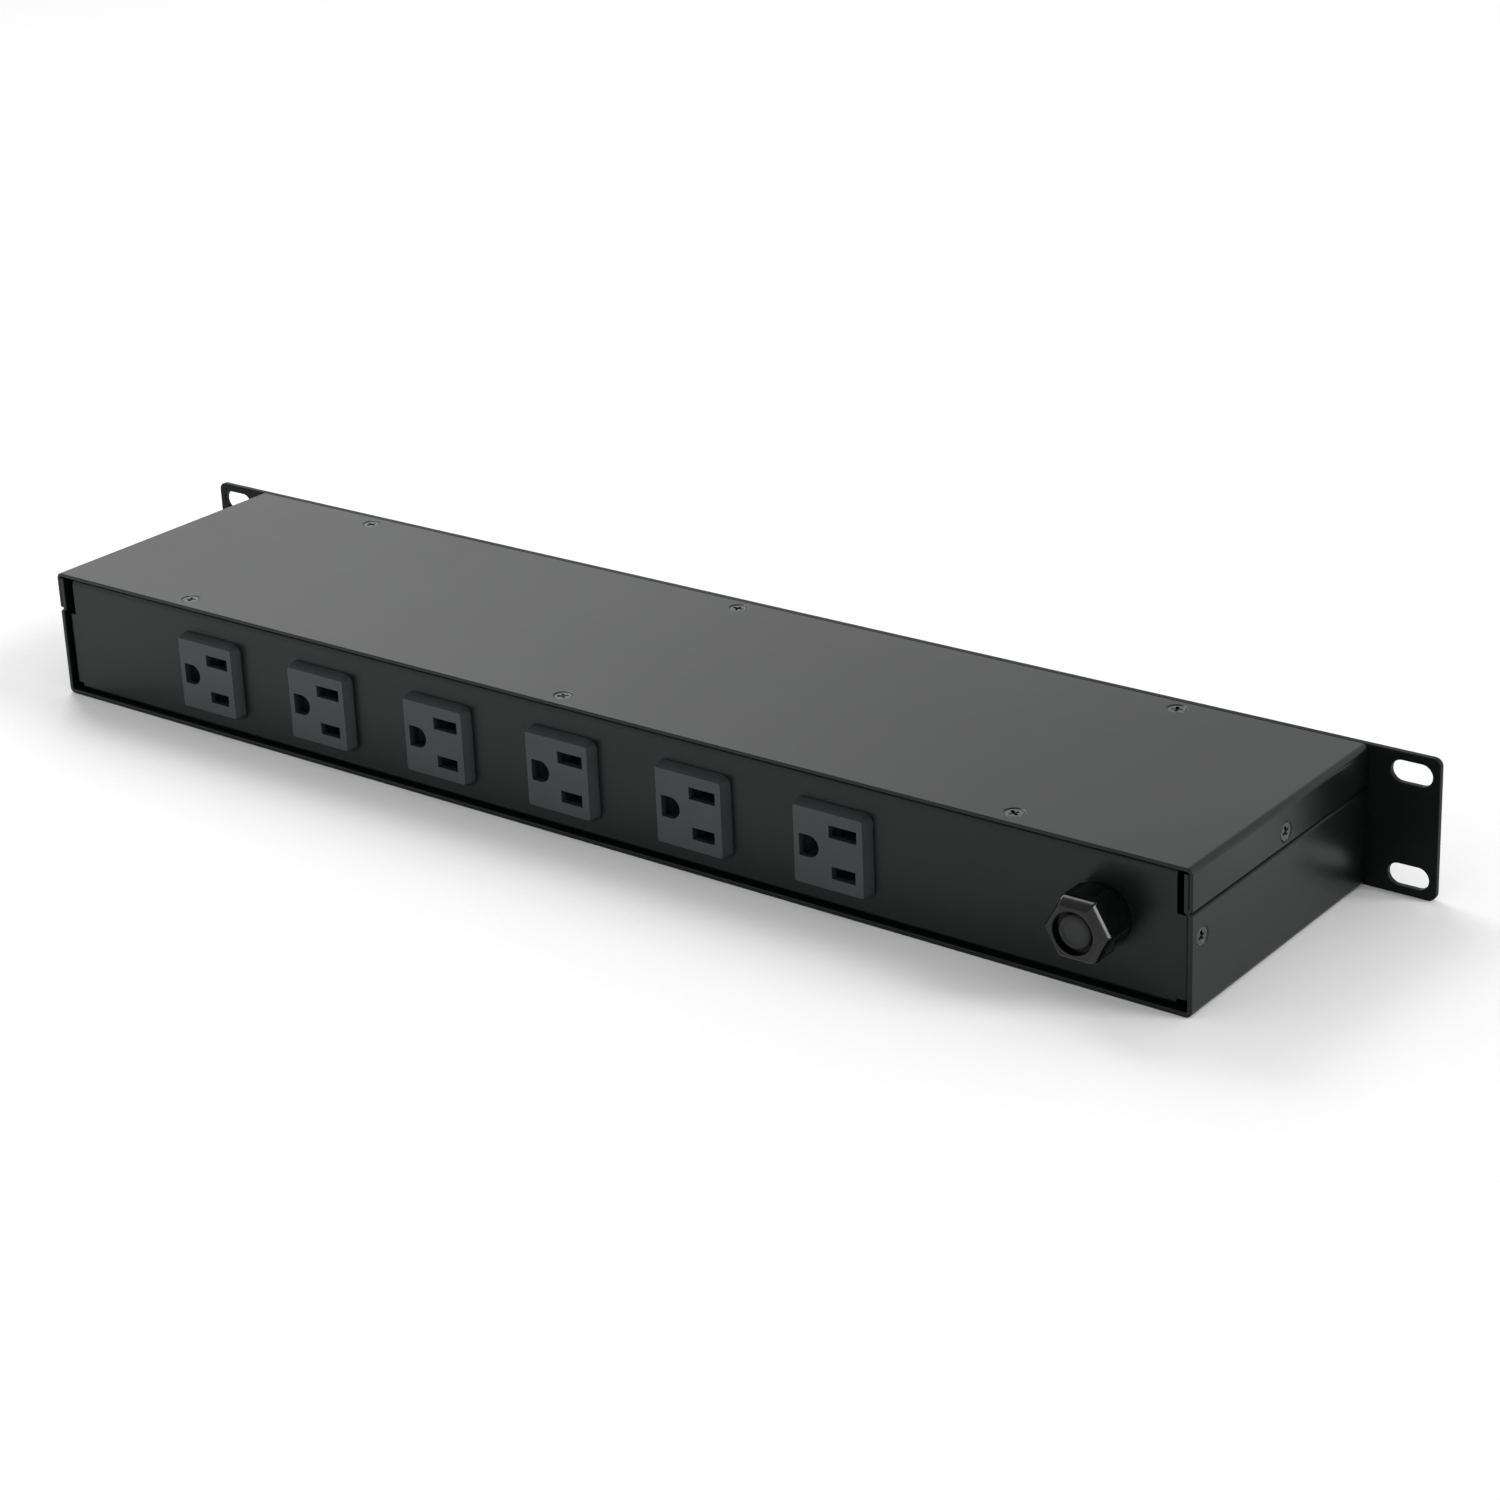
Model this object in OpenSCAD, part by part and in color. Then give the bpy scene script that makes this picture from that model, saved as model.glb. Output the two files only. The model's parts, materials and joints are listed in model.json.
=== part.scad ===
// Six-outlet rack power strip, one rack unit high.
// X runs across the rack, Y from the front panel to the rear, Z up.
// The origin is the middle of the rack ears' back face.

/* [Rack panel] */
// Width of the rack panel across both ears
panel_w = 482.6; // [482.2:0.1:483]
// Height of the rack panel, one unit less its clearance
panel_h = 43.7; // [43.4:0.1:44]
// Thickness of the rack panel
panel_t = 2; // [1.6:0.1:3]
// Corner radius of the ears
ear_corner_r = 2.5; // [1:0.5:4]
// Distance between the left and right ear slots
slot_span_x = 465.1; // [464.5:0.1:465.7]
// Distance between the upper and lower ear slots
slot_span_z = 31.75; // [31.7:0.05:31.8]
// Length of an ear slot from end to end
slot_len = 12.8; // [10:0.1:13]
// Width of an ear slot
slot_w = 6.8; // [6.2:0.1:7]

/* [Chassis] */
// Width of the chassis
body_w = 438.8; // [436:0.1:440]
// Depth from the ears' back face to the rear edges
body_d = 98.3; // [96:0.1:110]
// Thickness of the tray and rear panel sheet
tray_t = 1.5; // [1.2:0.1:1.6]
// Thickness of the cover sheet
cover_t = 1.2; // [1:0.1:1.2]
// Height of the cover's side flanges, the top sheet included
cover_flange = 12.5; // [10:0.5:13]
// Outer radius of the sheet bends
bend_r = 2; // [1.8:0.1:2.2]
// How far the rear panel sits inside the rear edges
rear_inset = 1.5; // [1:0.1:2]

/* [Outlets] */
// Distance from one outlet to the next
outlet_pitch = 50.15; // [49:0.05:51]
// Place of the first outlet across the rack
outlet_first_x = 147.7; // [146:0.1:149]
// Height of the outlets' middle
outlet_z = -1.1; // [-2:0.1:1]
// Width of an outlet's bezel
bezel_w = 27; // [26.6:0.1:28]
// Height of an outlet's bezel
bezel_h = 26.8; // [26.6:0.1:28]
// How far the bezel stands out of the rear panel
bezel_proud = 3.5; // [3:0.1:4]
// Width of the bevel round the bezel
bezel_bevel = 1.4; // [1:0.1:1.8]

/* [Cable gland] */
// Place of the gland across the rack
gland_x = -190.8; // [-194:0.1:-188]
// Height of the gland's middle
gland_z = 1.2; // [-1:0.1:2]
// Width of the gland nut across its flats
gland_flats = 18; // [17.5:0.1:19]
// How far the gland stands out of the rear panel
gland_proud = 14.8; // [14:0.1:16]
// Radius of the cable hole
gland_bore_r = 5.1; // [5:0.1:5.2]

/* [Switch and breaker] */
// Place of the switch across the rack
switch_x = -168; // [-172:1:-160]
// Angle that the rocker turns between off and on
rocker_throw = 24; // [20:1:26]
// Place of the breaker across the rack
breaker_x = -122; // [-126:1:-110]
// Travel of the breaker's reset button
button_travel = 3; // [2:0.5:3]

/* [Hidden] */
$fn = 48;

// Planes and clearances
eps = 0.1;                                // how far a cutting tool runs past a face
slip = 0.2;                               // gap between sheets that slide together
top_z = panel_h / 2;
floor_z = -panel_h / 2;
wall_x = body_w / 2;
rear_y = body_d - rear_inset;             // rear panel's outer face
seat_z = top_z - cover_t;                 // underside of the cover's top sheet
joggle_x = wall_x - cover_t - slip / 2;   // outer face of the tray walls under the cover flanges
seam_z = top_z - cover_flange;            // lower edge of the cover flanges
shoulder_z = seam_z - 0.5;                // where the tray's walls have stepped in
wall_top_z = seat_z - 0.6;                // top of the tray's walls
joggle_h = 0.8;                           // height over which the walls step in
flange_d = 13;                            // depth of the flanges that take the cover screws

// Countersunk M3 screws
m3_r = 1.5;
m3_hole_r = 1.55;
m3_head_r = 3.1;
m3_head_h = 1.2;
m3_len = 6;
cover_screw_x = 160.5;
front_row_y = 5.2;
rear_row_y = 92.2;
side_screw_y = 47.8;
side_screw_z = 13.3;
rear_screw_y = 92.9;
rear_screw_z = 0.5;

// Front panel studs
stud_x = [-205, -70, 70, 205];
stud_r = 2;
stud_len = 9;
stud_z = -8;

// Outlet body
outlet_body_w = 24.4;
outlet_body_h = 24.6;
outlet_body_d = 19;
bezel_corner_r = 3;
blade_span = 12.7;
blade_x = -5.2;
ground_x = 6.7;
neutral_slot = 9.6;
line_slot = 8.2;
slot_h = 3.8;
ground_r = 3.4;
cap_t = 1.6;
tail_len = 4.5;
bus_r = 1.7;
outlet_back_y = rear_y - outlet_body_d;
cap_y = outlet_back_y - cap_t;
neck_y = rear_y - tray_t - 0.1;           // where an outlet's front part meets its back
mouth_y = neck_y - 0.6;                   // front edge of the contacts
tail_end_y = cap_y - tail_len;
bus_y = tail_end_y - bus_r;
neutral_z = outlet_z + blade_span / 2;
line_z = outlet_z - blade_span / 2;

// Gland
gland_thread_r = 7.6;
gasket_t = 0.7;
collar_t = 1.5;
gland_nut_y = rear_y + gasket_t + collar_t + 0.1;
gland_end_y = rear_y + gland_proud;
nut_curve_len = 5;                        // length over which the nut's flats curve in
nut_curve_in = 1.8;                       // how far they curve in
nut_curve_r = (nut_curve_len ^ 2 + nut_curve_in ^ 2) / (2 * nut_curve_in);
nut_lip = 3;                              // thickness of the nut round its mouth
mouth_gap = 1.2;                          // space between the plug and the nut's mouth
gland_tail = 11;

// Switch
rocker_w = 12;
rocker_r = 13;
rocker_gap = 0.4;
pivot_y = 1.5;
pivot_r = 1.5;
rocker_front = 6.4;
rocker_back = 4;
rocker_tilt = rocker_throw / 2;
switch_open_w = rocker_w + 2 * rocker_gap;
switch_open_h = 2 * (rocker_r + rocker_gap);
switch_wall = 1.3;
switch_depth = 17;
switch_bezel_t = 2;
switch_bezel_lip = 2.2;
switch_tails_z = [-7, 1, 9];
switch_tail_y = switch_depth + 7.3;

// Breaker
neck_r = 5.5;
neck_len = 6.5;
button_r = 3.2;
button_gap = 0.05;
breaker_w = 14;
breaker_h = 33;
breaker_d = 26;
breaker_y = tray_t;
button_proud = 2;
breaker_tail_y = breaker_y + breaker_d + 4.3;
breaker_tail_z = 8;

// Terminal block and earth stud
block_x = -150;
block_y = 62;
block_pitch = 10;
block_w = 34;
block_d = 20;
block_h = 15;
block_base_z = floor_z + tray_t;
earth_x = -196;
earth_y = 38;
earth_r = 2;

// ---------- shared shapes ----------

module round_rect(w, h, r) {
    square([w - 2 * r, h], center = true);
    square([w, h - 2 * r], center = true);
    for (sx = [-1, 1], sz = [-1, 1])
        translate([sx * (w / 2 - r), sz * (h / 2 - r)])
            circle(r = r, $fn = 32);
}

// A flat outline in X and Z, made solid from y0 to y1
module xz_plate(y0, y1) {
    translate([0, y1, 0])
        rotate([90, 0, 0])
            linear_extrude(y1 - y0)
                children();
}

// An outline in Y and Z, made solid from x0 to x1
module yz_bar(x0, x1) {
    translate([x0, 0, 0])
        rotate([90, 0, 90])
            linear_extrude(x1 - x0)
                children();
}

// A cylinder along Y from y0 to y1
module y_rod(x, z, r, y0, y1) {
    translate([x, y1, z])
        rotate([90, 0, 0])
            cylinder(r = r, h = y1 - y0);
}

// A hexagon bar along Y with flats above and below
module y_hex(x, z, flats, y0, y1) {
    translate([x, y1, z])
        rotate([90, 0, 0])
            cylinder(r = flats / sqrt(3), h = y1 - y0, $fn = 6);
}

// A block given by its middle in X and Z and its ends in Y
module y_block(x, z, w, h, y0, y1) {
    translate([x - w / 2, y0, z - h / 2])
        cube([w, y1 - y0, h]);
}

// A quarter bend of sheet in the plane, centred on its inner corner
module bend_corner(r, t) {
    difference() {
        intersection() {
            circle(r = r, $fn = 32);
            square(r + 1);
        }
        circle(r = r - t, $fn = 32);
    }
}

// A countersunk screw that points down, its head's top at the origin
module flat_screw(len = m3_len) {
    difference() {
        union() {
            translate([0, 0, -m3_head_h])
                cylinder(r1 = m3_r, r2 = m3_head_r, h = m3_head_h);
            translate([0, 0, -len])
                cylinder(r = m3_r, h = len - m3_head_h + eps);
        }
        cross_recess();
    }
}

module cross_recess() {
    recess_w = 0.85;
    recess_l = 3.4;
    recess_d = 1.3;
    for (a = [0, 90])
        rotate([0, 0, a])
            translate([-recess_l / 2, -recess_w / 2, -recess_d])
                cube([recess_l, recess_w, recess_d + eps]);
}

// The hole that a countersunk screw needs, pointing down
module flat_screw_hole(depth) {
    translate([0, 0, -m3_head_h])
        cylinder(r1 = m3_hole_r, r2 = m3_head_r + 0.05, h = m3_head_h);
    translate([0, 0, -depth])
        cylinder(r = m3_hole_r, h = depth);
    cylinder(r = m3_head_r + 0.05, h = 1);
}

module at_cover_screws() {
    for (x = [-cover_screw_x, 0, cover_screw_x], y = [front_row_y, rear_row_y])
        translate([x, y, top_z])
            children();
}

module at_side_screws(y, z) {
    for (s = [-1, 1])
        translate([s * wall_x, y, z])
            rotate([0, s * 90, 0])
                children();
}

// A wire of radius r through a list of points, as an eight-sided tube
function unit(v) = v / norm(v);
function ends(p, i) = [p[max(i - 1, 0)], p[min(i + 1, len(p) - 1)]];
function heading(p, i) = unit(ends(p, i)[1] - ends(p, i)[0]);
function side_of(d) = unit(cross(d, abs(d[2]) > 0.9 ? [0, 1, 0] : [0, 0, 1]));
function ring(c, d, r) = [for (k = [0:7])
    c + r * (cos(45 * k) * side_of(d) + sin(45 * k) * cross(side_of(d), d))];
function softened(p) = [for (i = [0:len(p) - 1])
    for (q = (i == 0 || i == len(p) - 1) ? [p[i]] : [
        p[i] + soften * unit(p[i - 1] - p[i]),
        p[i] + 0.3 * soften * (unit(p[i - 1] - p[i]) + unit(p[i + 1] - p[i])) / 2,
        p[i] + soften * unit(p[i + 1] - p[i])]) q];
soften = 3;

module wire(path, r) {
    p = softened(path);
    n = len(p);
    rings = [for (i = [0:n - 1]) each ring(p[i], heading(p, i), r)];
    sides = [for (i = [0:n - 2], k = [0:7])
        [8 * i + k, 8 * i + (k + 1) % 8, 8 * (i + 1) + (k + 1) % 8, 8 * (i + 1) + k]];
    start = [for (k = [7:-1:0]) k];
    stop = [for (k = [0:7]) 8 * (n - 1) + k];
    polyhedron(points = rings, faces = concat([start], sides, [stop]), convexity = 4);
}

// ---------- chassis ----------

module tray_walls() {
    low_w = body_w;
    // floor and full-width walls with round lower bends
    xz_plate(0, body_d) {
        translate([-low_w / 2 + bend_r, floor_z])
            square([low_w - 2 * bend_r, tray_t]);
        for (s = [-1, 1])
            scale([s, 1]) {
                translate([wall_x - tray_t, floor_z + bend_r])
                    square([tray_t, shoulder_z - floor_z - bend_r - joggle_h]);
                translate([wall_x - bend_r, floor_z + bend_r])
                    rotate(-90)
                        bend_corner(bend_r, tray_t);
                polygon([
                    [wall_x, shoulder_z - joggle_h],
                    [joggle_x, shoulder_z],
                    [joggle_x, wall_top_z],
                    [joggle_x - tray_t, wall_top_z],
                    [joggle_x - tray_t, shoulder_z],
                    [wall_x - tray_t, shoulder_z - joggle_h]
                ]);
            }
    }
}

module tray_front() {
    front_w = 2 * (joggle_x - tray_t) - 2;
    y_block(0, (floor_z + seat_z) / 2, front_w, seat_z - floor_z - slip, 0, tray_t);
    y_block(0, seat_z - slip - tray_t / 2, front_w, tray_t, 0, flange_d);
}

module tray() {
    color("#26282a")
        difference() {
            union() {
                tray_walls();
                tray_front();
            }
            for (x = [-cover_screw_x, 0, cover_screw_x])
                translate([x, front_row_y, seat_z - slip - tray_t - eps])
                    cylinder(r = m3_hole_r, h = tray_t + 2 * eps);
            at_side_screws(side_screw_y, side_screw_z)
                translate([0, 0, -8])
                    cylinder(r = m3_hole_r, h = 9);
            at_side_screws(rear_screw_y, rear_screw_z)
                flat_screw_hole(8);
            for (x = stud_x)
                y_rod(x, stud_z, stud_r + 0.2, -eps, tray_t + eps);
            y_block(switch_x, 0, switch_open_w + 2 * switch_wall + 0.4,
                switch_open_h + 2 * switch_wall + 0.4, -eps, tray_t + eps);
            y_rod(breaker_x, 0, neck_r + 0.1, -eps, tray_t + eps);
            for (s = [-1, 1])
                translate([block_x + s * (block_w / 2 - 2.4), block_y, floor_z - eps])
                    cylinder(r = m3_hole_r, h = tray_t + 2 * eps);
        }
}

module top_cover() {
    color("#2b2d2e")
        difference() {
            xz_plate(0, body_d) {
                translate([-wall_x + bend_r, seat_z])
                    square([body_w - 2 * bend_r, cover_t]);
                for (s = [-1, 1])
                    scale([s, 1]) {
                        translate([wall_x - cover_t, seam_z])
                            square([cover_t, cover_flange - bend_r]);
                        translate([wall_x - bend_r, top_z - bend_r])
                            bend_corner(bend_r, cover_t);
                    }
            }
            at_cover_screws()
                flat_screw_hole(3);
            at_side_screws(side_screw_y, side_screw_z)
                flat_screw_hole(3);
        }
}

// Half-width of the rear panel above and below the tray's joggle
rear_upper_x = joggle_x - tray_t - 2.7;
rear_lower_x = wall_x - tray_t - slip;
rear_bottom_z = floor_z + tray_t;
rear_step_z = shoulder_z - joggle_h - 0.8;
rear_bend_r = 3;                          // outer radius of the rear panel's upper bend

module rear_panel() {
    tab_d = 11;
    tab_low_z = rear_bottom_z + 2.5;
    rear_top_z = seat_z - 0.05;
    color("#2a2c2d")
        difference() {
            union() {
                // plate with its upper and lower flanges
                yz_bar(-rear_upper_x, rear_upper_x) {
                    translate([rear_y - tray_t, rear_bottom_z + bend_r])
                        square([tray_t, rear_top_z - rear_bottom_z - rear_bend_r - bend_r]);
                    translate([rear_y - flange_d, rear_top_z - tray_t])
                        square([flange_d - rear_bend_r, tray_t]);
                    translate([rear_y - flange_d, rear_bottom_z])
                        square([flange_d - bend_r, tray_t]);
                    translate([rear_y - rear_bend_r, rear_top_z - rear_bend_r])
                        bend_corner(rear_bend_r, tray_t);
                    translate([rear_y - bend_r, rear_bottom_z + bend_r])
                        rotate(-90)
                            bend_corner(bend_r, tray_t);
                }
                // side tabs that take the tray's rear screws
                for (s = [-1, 1])
                    scale([s, 1, 1])
                        translate([0, 0, tab_low_z])
                            linear_extrude(rear_step_z - tab_low_z) {
                                translate([rear_upper_x - 2, rear_y - tray_t])
                                    square([rear_lower_x - rear_upper_x + 2 - bend_r, tray_t]);
                                translate([rear_lower_x - bend_r, rear_y - bend_r])
                                    bend_corner(bend_r, tray_t);
                                translate([rear_lower_x - tray_t, rear_y - tab_d])
                                    square([tray_t, tab_d - bend_r]);
                            }
            }
            for (i = [0:5])
                y_block(outlet_x(i), outlet_z, outlet_body_w + 0.3, outlet_body_h + 0.3,
                    rear_y - 4, rear_y + eps);
            y_rod(gland_x, gland_z, gland_thread_r + 0.15, rear_y - 4, rear_y + eps);
            for (x = [-cover_screw_x, 0, cover_screw_x])
                translate([x, rear_row_y, rear_top_z - tray_t - eps])
                    cylinder(r = m3_hole_r, h = tray_t + 2 * eps);
            at_side_screws(rear_screw_y, rear_screw_z)
                translate([0, 0, -8])
                    cylinder(r = m3_hole_r, h = 9);
        }
}

module slot_outline(len, width) {
    square([len - width, width], center = true);
    for (s = [-1, 1])
        translate([s * (len - width) / 2, 0])
            circle(d = width, $fn = 48);
}

module front_panel() {
    color("#222425")
        xz_plate(-panel_t, 0)
            difference() {
                round_rect(panel_w, panel_h, ear_corner_r);
                for (sx = [-1, 1], sz = [-1, 1])
                    translate([sx * slot_span_x / 2, sz * slot_span_z / 2])
                        slot_outline(slot_len, slot_w);
                translate([switch_x, 0])
                    square([switch_open_w + 2 * switch_wall + 0.2,
                        switch_open_h + 2 * switch_wall + 0.2], center = true);
                translate([breaker_x, 0])
                    circle(r = neck_r + 0.1);
            }
}

module front_panel_studs() {
    color("#b08a3c")
        for (x = stud_x)
            y_rod(x, stud_z, stud_r, 0, stud_len);
}

module front_panel_washers() {
    color("#b9bcc0")
        for (x = stud_x)
            difference() {
                y_rod(x, stud_z, 4.2, tray_t, tray_t + 0.8);
                y_rod(x, stud_z, stud_r + 0.1, tray_t - eps, tray_t + 1);
            }
}

module front_panel_nuts() {
    color("#b9bcc0")
        for (x = stud_x)
            difference() {
                y_hex(x, stud_z, 7, tray_t + 0.8, tray_t + 4);
                y_rod(x, stud_z, stud_r + 0.05, tray_t, tray_t + 5);
            }
}

module cover_top_screws() {
    color("#1b1c1d")
        at_cover_screws()
            flat_screw();
}

module cover_side_screws() {
    color("#1b1c1d")
        at_side_screws(side_screw_y, side_screw_z)
            flat_screw();
}

module rear_panel_screws() {
    color("#1b1c1d")
        at_side_screws(rear_screw_y, rear_screw_z)
            flat_screw();
}

// ---------- outlets ----------

function outlet_x(i) = outlet_first_x - i * outlet_pitch;

module ground_outline(r) {
    circle(r = r);
    translate([0, -r])
        square([r, 2 * r]);
}

module outlet_bezel() {
    hull() {
        xz_plate(rear_y, rear_y + 0.6)
            round_rect(bezel_w, bezel_h, bezel_corner_r);
        xz_plate(rear_y + bezel_proud - 0.3, rear_y + bezel_proud)
            round_rect(bezel_w - 2 * bezel_bevel, bezel_h - 2 * bezel_bevel, 0.8);
    }
}

module outlet_housing(i) {
    front_y = rear_y + bezel_proud;
    color("#2f3133")
        translate([outlet_x(i), 0, outlet_z])
            difference() {
                union() {
                    outlet_bezel();
                    y_block(0, 0, outlet_body_w, outlet_body_h, neck_y, rear_y + eps);
                }
                y_block(blade_x, blade_span / 2, neutral_slot, slot_h,
                    neck_y - eps, front_y + eps);
                y_block(blade_x, -blade_span / 2, line_slot, slot_h,
                    neck_y - eps, front_y + eps);
                xz_plate(neck_y - eps, front_y + eps)
                    translate([ground_x, 0])
                        ground_outline(ground_r);
            }
}

// A latch that snaps behind the rear panel's cut-out
module outlet_latch() {
    latch = 0.9;
    latch_len = 6;
    latch_w = 8;
    translate([outlet_body_w / 2, 0, -latch_w / 2])
        linear_extrude(latch_w)
            polygon([
                [-eps, neck_y], [latch, neck_y - 0.2], [-eps, neck_y - latch_len]
            ]);
}

module outlet_back(i) {
    tail_gap = 0.15;
    color("#3a3c3e")
        translate([outlet_x(i), 0, outlet_z])
            difference() {
                union() {
                    y_block(0, 0, outlet_body_w, outlet_body_h, cap_y, neck_y);
                    outlet_latch();
                    mirror([1, 0, 0])
                        outlet_latch();
                }
                // a chamber for each contact, and the slit for its tail
                for (s = [-1, 1]) {
                    y_block(blade_x, s * blade_span / 2, 11.6, 8.6, outlet_back_y, neck_y + eps);
                    y_block(blade_x, s * blade_span / 2, 6.3 + 2 * tail_gap,
                        0.8 + 2 * tail_gap, cap_y - eps, outlet_back_y + eps);
                }
                y_block(ground_x - 0.3, 0, 9.2, 9.2, outlet_back_y, neck_y + eps);
                y_block(ground_x - 0.3, 0, 0.8 + 2 * tail_gap, 6.3 + 2 * tail_gap,
                    cap_y - eps, outlet_back_y + eps);
            }
}

// Two spring leaves that grip a blade, with a tail through the back cap
module blade_contact() {
    leaf_t = 0.6;
    leaf_gap = 1.3;
    leaf_w = 7;
    root_y = outlet_back_y + 1.6;
    for (s = [-1, 1])
        scale([1, 1, s])
            yz_bar(-leaf_w / 2, leaf_w / 2)
                polygon([
                    [root_y, 0], [root_y, 2.6], [mouth_y - 4, leaf_gap / 2 + leaf_t],
                    [mouth_y, 2.6], [mouth_y, 2.6 - leaf_t], [mouth_y - 4, leaf_gap / 2],
                    [root_y + leaf_t, 2.6 - leaf_t], [root_y + leaf_t, 0]
                ]);
    y_block(0, 0, 6.3, 0.8, tail_end_y, root_y + eps);
}

module line_contacts() {
    color("#c9a24a")
        for (i = [0:5])
            translate([outlet_x(i) + blade_x, 0, line_z])
                blade_contact();
}

module neutral_contacts() {
    color("#c9a24a")
        for (i = [0:5])
            translate([outlet_x(i) + blade_x, 0, neutral_z])
                blade_contact();
}

module ground_contacts() {
    sleeve_r = 3.2;
    root_y = outlet_back_y + 1.6;
    color("#c9a24a")
        for (i = [0:5])
            translate([outlet_x(i) + ground_x - 0.3, 0, outlet_z]) {
                difference() {
                    y_rod(0, 0, sleeve_r, root_y, mouth_y);
                    y_rod(0, 0, sleeve_r - 0.7, root_y + 0.8, mouth_y + eps);
                    y_block(0, 0, 1.2, 8, root_y + 3, mouth_y + eps);
                }
                y_block(0, 0, 0.8, 6.3, tail_end_y, root_y + 0.4);
            }
}

module outlet_1_housing() outlet_housing(0);
module outlet_2_housing() outlet_housing(1);
module outlet_3_housing() outlet_housing(2);
module outlet_4_housing() outlet_housing(3);
module outlet_5_housing() outlet_housing(4);
module outlet_6_housing() outlet_housing(5);
module outlet_1_back() outlet_back(0);
module outlet_2_back() outlet_back(1);
module outlet_3_back() outlet_back(2);
module outlet_4_back() outlet_back(3);
module outlet_5_back() outlet_back(4);
module outlet_6_back() outlet_back(5);

// ---------- wiring ----------

bus_start_x = outlet_x(0) + 6;
ground_bus_z = outlet_z;
wire_hole_r = 2;
pole_wire_z = block_base_z + 5;
pole_front_y = block_y - block_d / 2;
pole_rear_y = block_y + block_d / 2;
grip = 4;                                 // how far a wire goes into the terminal block
neutral_pole_x = block_x + block_pitch;
ground_pole_x = block_x;
line_pole_x = block_x - block_pitch;
lead_z = block_base_z + 0.8 + bus_r;      // a lead that lies on the earth ring's tail

module line_bus_wire() {
    color("#151515")
        wire([
            [bus_start_x, bus_y, line_z],
            [-118, bus_y, line_z],
            [-124, 44, line_z],
            [switch_x, 36, switch_tails_z[0]],
            [switch_x, switch_tail_y, switch_tails_z[0]]
        ], bus_r);
}

module neutral_bus_wire() {
    color("#e8e8e4")
        wire([
            [bus_start_x, bus_y, neutral_z],
            [-118, bus_y, neutral_z],
            [-126, 78, 2],
            [neutral_pole_x, 84, -8],
            [neutral_pole_x, 84, pole_wire_z],
            [neutral_pole_x, pole_rear_y - grip, pole_wire_z]
        ], bus_r);
}

module ground_bus_wire() {
    color("#2f7d3a")
        wire([
            [bus_start_x + 6, bus_y, ground_bus_z],
            [-114, bus_y, ground_bus_z],
            [-118, 50, -12],
            [-150, 37, -13],
            [earth_x + 18, earth_y + 0.5, lead_z + 1],
            [earth_x + 12, earth_y + 6.3, lead_z],
            [earth_x, earth_y + 6.3, lead_z]
        ], bus_r);
}

module supply_line_lead() {
    color("#151515")
        wire([
            [line_pole_x, pole_front_y + grip, pole_wire_z],
            [line_pole_x, 46, pole_wire_z],
            [line_pole_x, 46, 12],
            [breaker_x, 44, 12],
            [breaker_x, 38, breaker_tail_z],
            [breaker_x, breaker_tail_y, breaker_tail_z]
        ], bus_r);
}

module supply_neutral_lead() {
    color("#e8e8e4")
        wire([
            [neutral_pole_x, pole_front_y + grip, pole_wire_z],
            [neutral_pole_x, 46, pole_wire_z],
            [neutral_pole_x, 46, 6],
            [switch_x, 40, 6],
            [switch_x, 34, switch_tails_z[2]],
            [switch_x, switch_tail_y, switch_tails_z[2]]
        ], bus_r);
}

module supply_ground_lead() {
    color("#2f7d3a")
        wire([
            [ground_pole_x, pole_front_y + grip, pole_wire_z],
            [ground_pole_x, 47, pole_wire_z],
            [ground_pole_x - 3, 42.3, lead_z],
            [ground_pole_x - 22, 42.3, lead_z],
            [earth_x + 16, earth_y + 9.5, lead_z],
            [earth_x, earth_y + 10, lead_z]
        ], bus_r);
}

module switch_lead() {
    color("#151515")
        wire([
            [breaker_x, breaker_tail_y, -breaker_tail_z],
            [breaker_x, 37, -breaker_tail_z],
            [-132, 34, 1],
            [switch_x, 32, switch_tails_z[1]],
            [switch_x, switch_tail_y, switch_tails_z[1]]
        ], bus_r);
}

module terminal_block() {
    pole_r = 2.6;
    color("#d9d6cc")
        difference() {
            translate([block_x - block_w / 2, block_y - block_d / 2, block_base_z])
                cube([block_w, block_d, block_h]);
            for (i = [-1:1]) {
                y_rod(block_x + i * block_pitch, pole_wire_z, wire_hole_r,
                    pole_front_y - eps, pole_rear_y + eps);
                for (s = [-1, 1])
                    translate([block_x + i * block_pitch, block_y + s * 5, pole_wire_z])
                        cylinder(r = pole_r, h = block_h);
            }
            for (s = [-1, 1])
                translate([block_x + s * (block_w / 2 - 2.4), block_y, block_base_z - eps])
                    cylinder(r = m3_hole_r, h = block_h + 2 * eps);
        }
}

module terminal_clamp_screws() {
    color("#b9bcc0")
        for (i = [-1:1], s = [-1, 1])
            translate([block_x + i * block_pitch, block_y + s * 5, pole_wire_z + bus_r])
                difference() {
                    cylinder(r = 2.4, h = 5);
                    translate([-3, -0.4, 4])
                        cube([6, 0.8, 2]);
                }
}

module terminal_mount_screws() {
    color("#b9bcc0")
        for (s = [-1, 1])
            translate([block_x + s * (block_w / 2 - 2.4), block_y, 0]) {
                translate([0, 0, floor_z + 0.1])
                    cylinder(r = m3_r, h = tray_t + block_h);
                translate([0, 0, block_base_z + block_h])
                    cylinder(r = 2.3, h = 1.6);
            }
}

module earth_stud() {
    color("#b08a3c")
        translate([earth_x, earth_y, block_base_z])
            cylinder(r = earth_r, h = 12);
}

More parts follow.
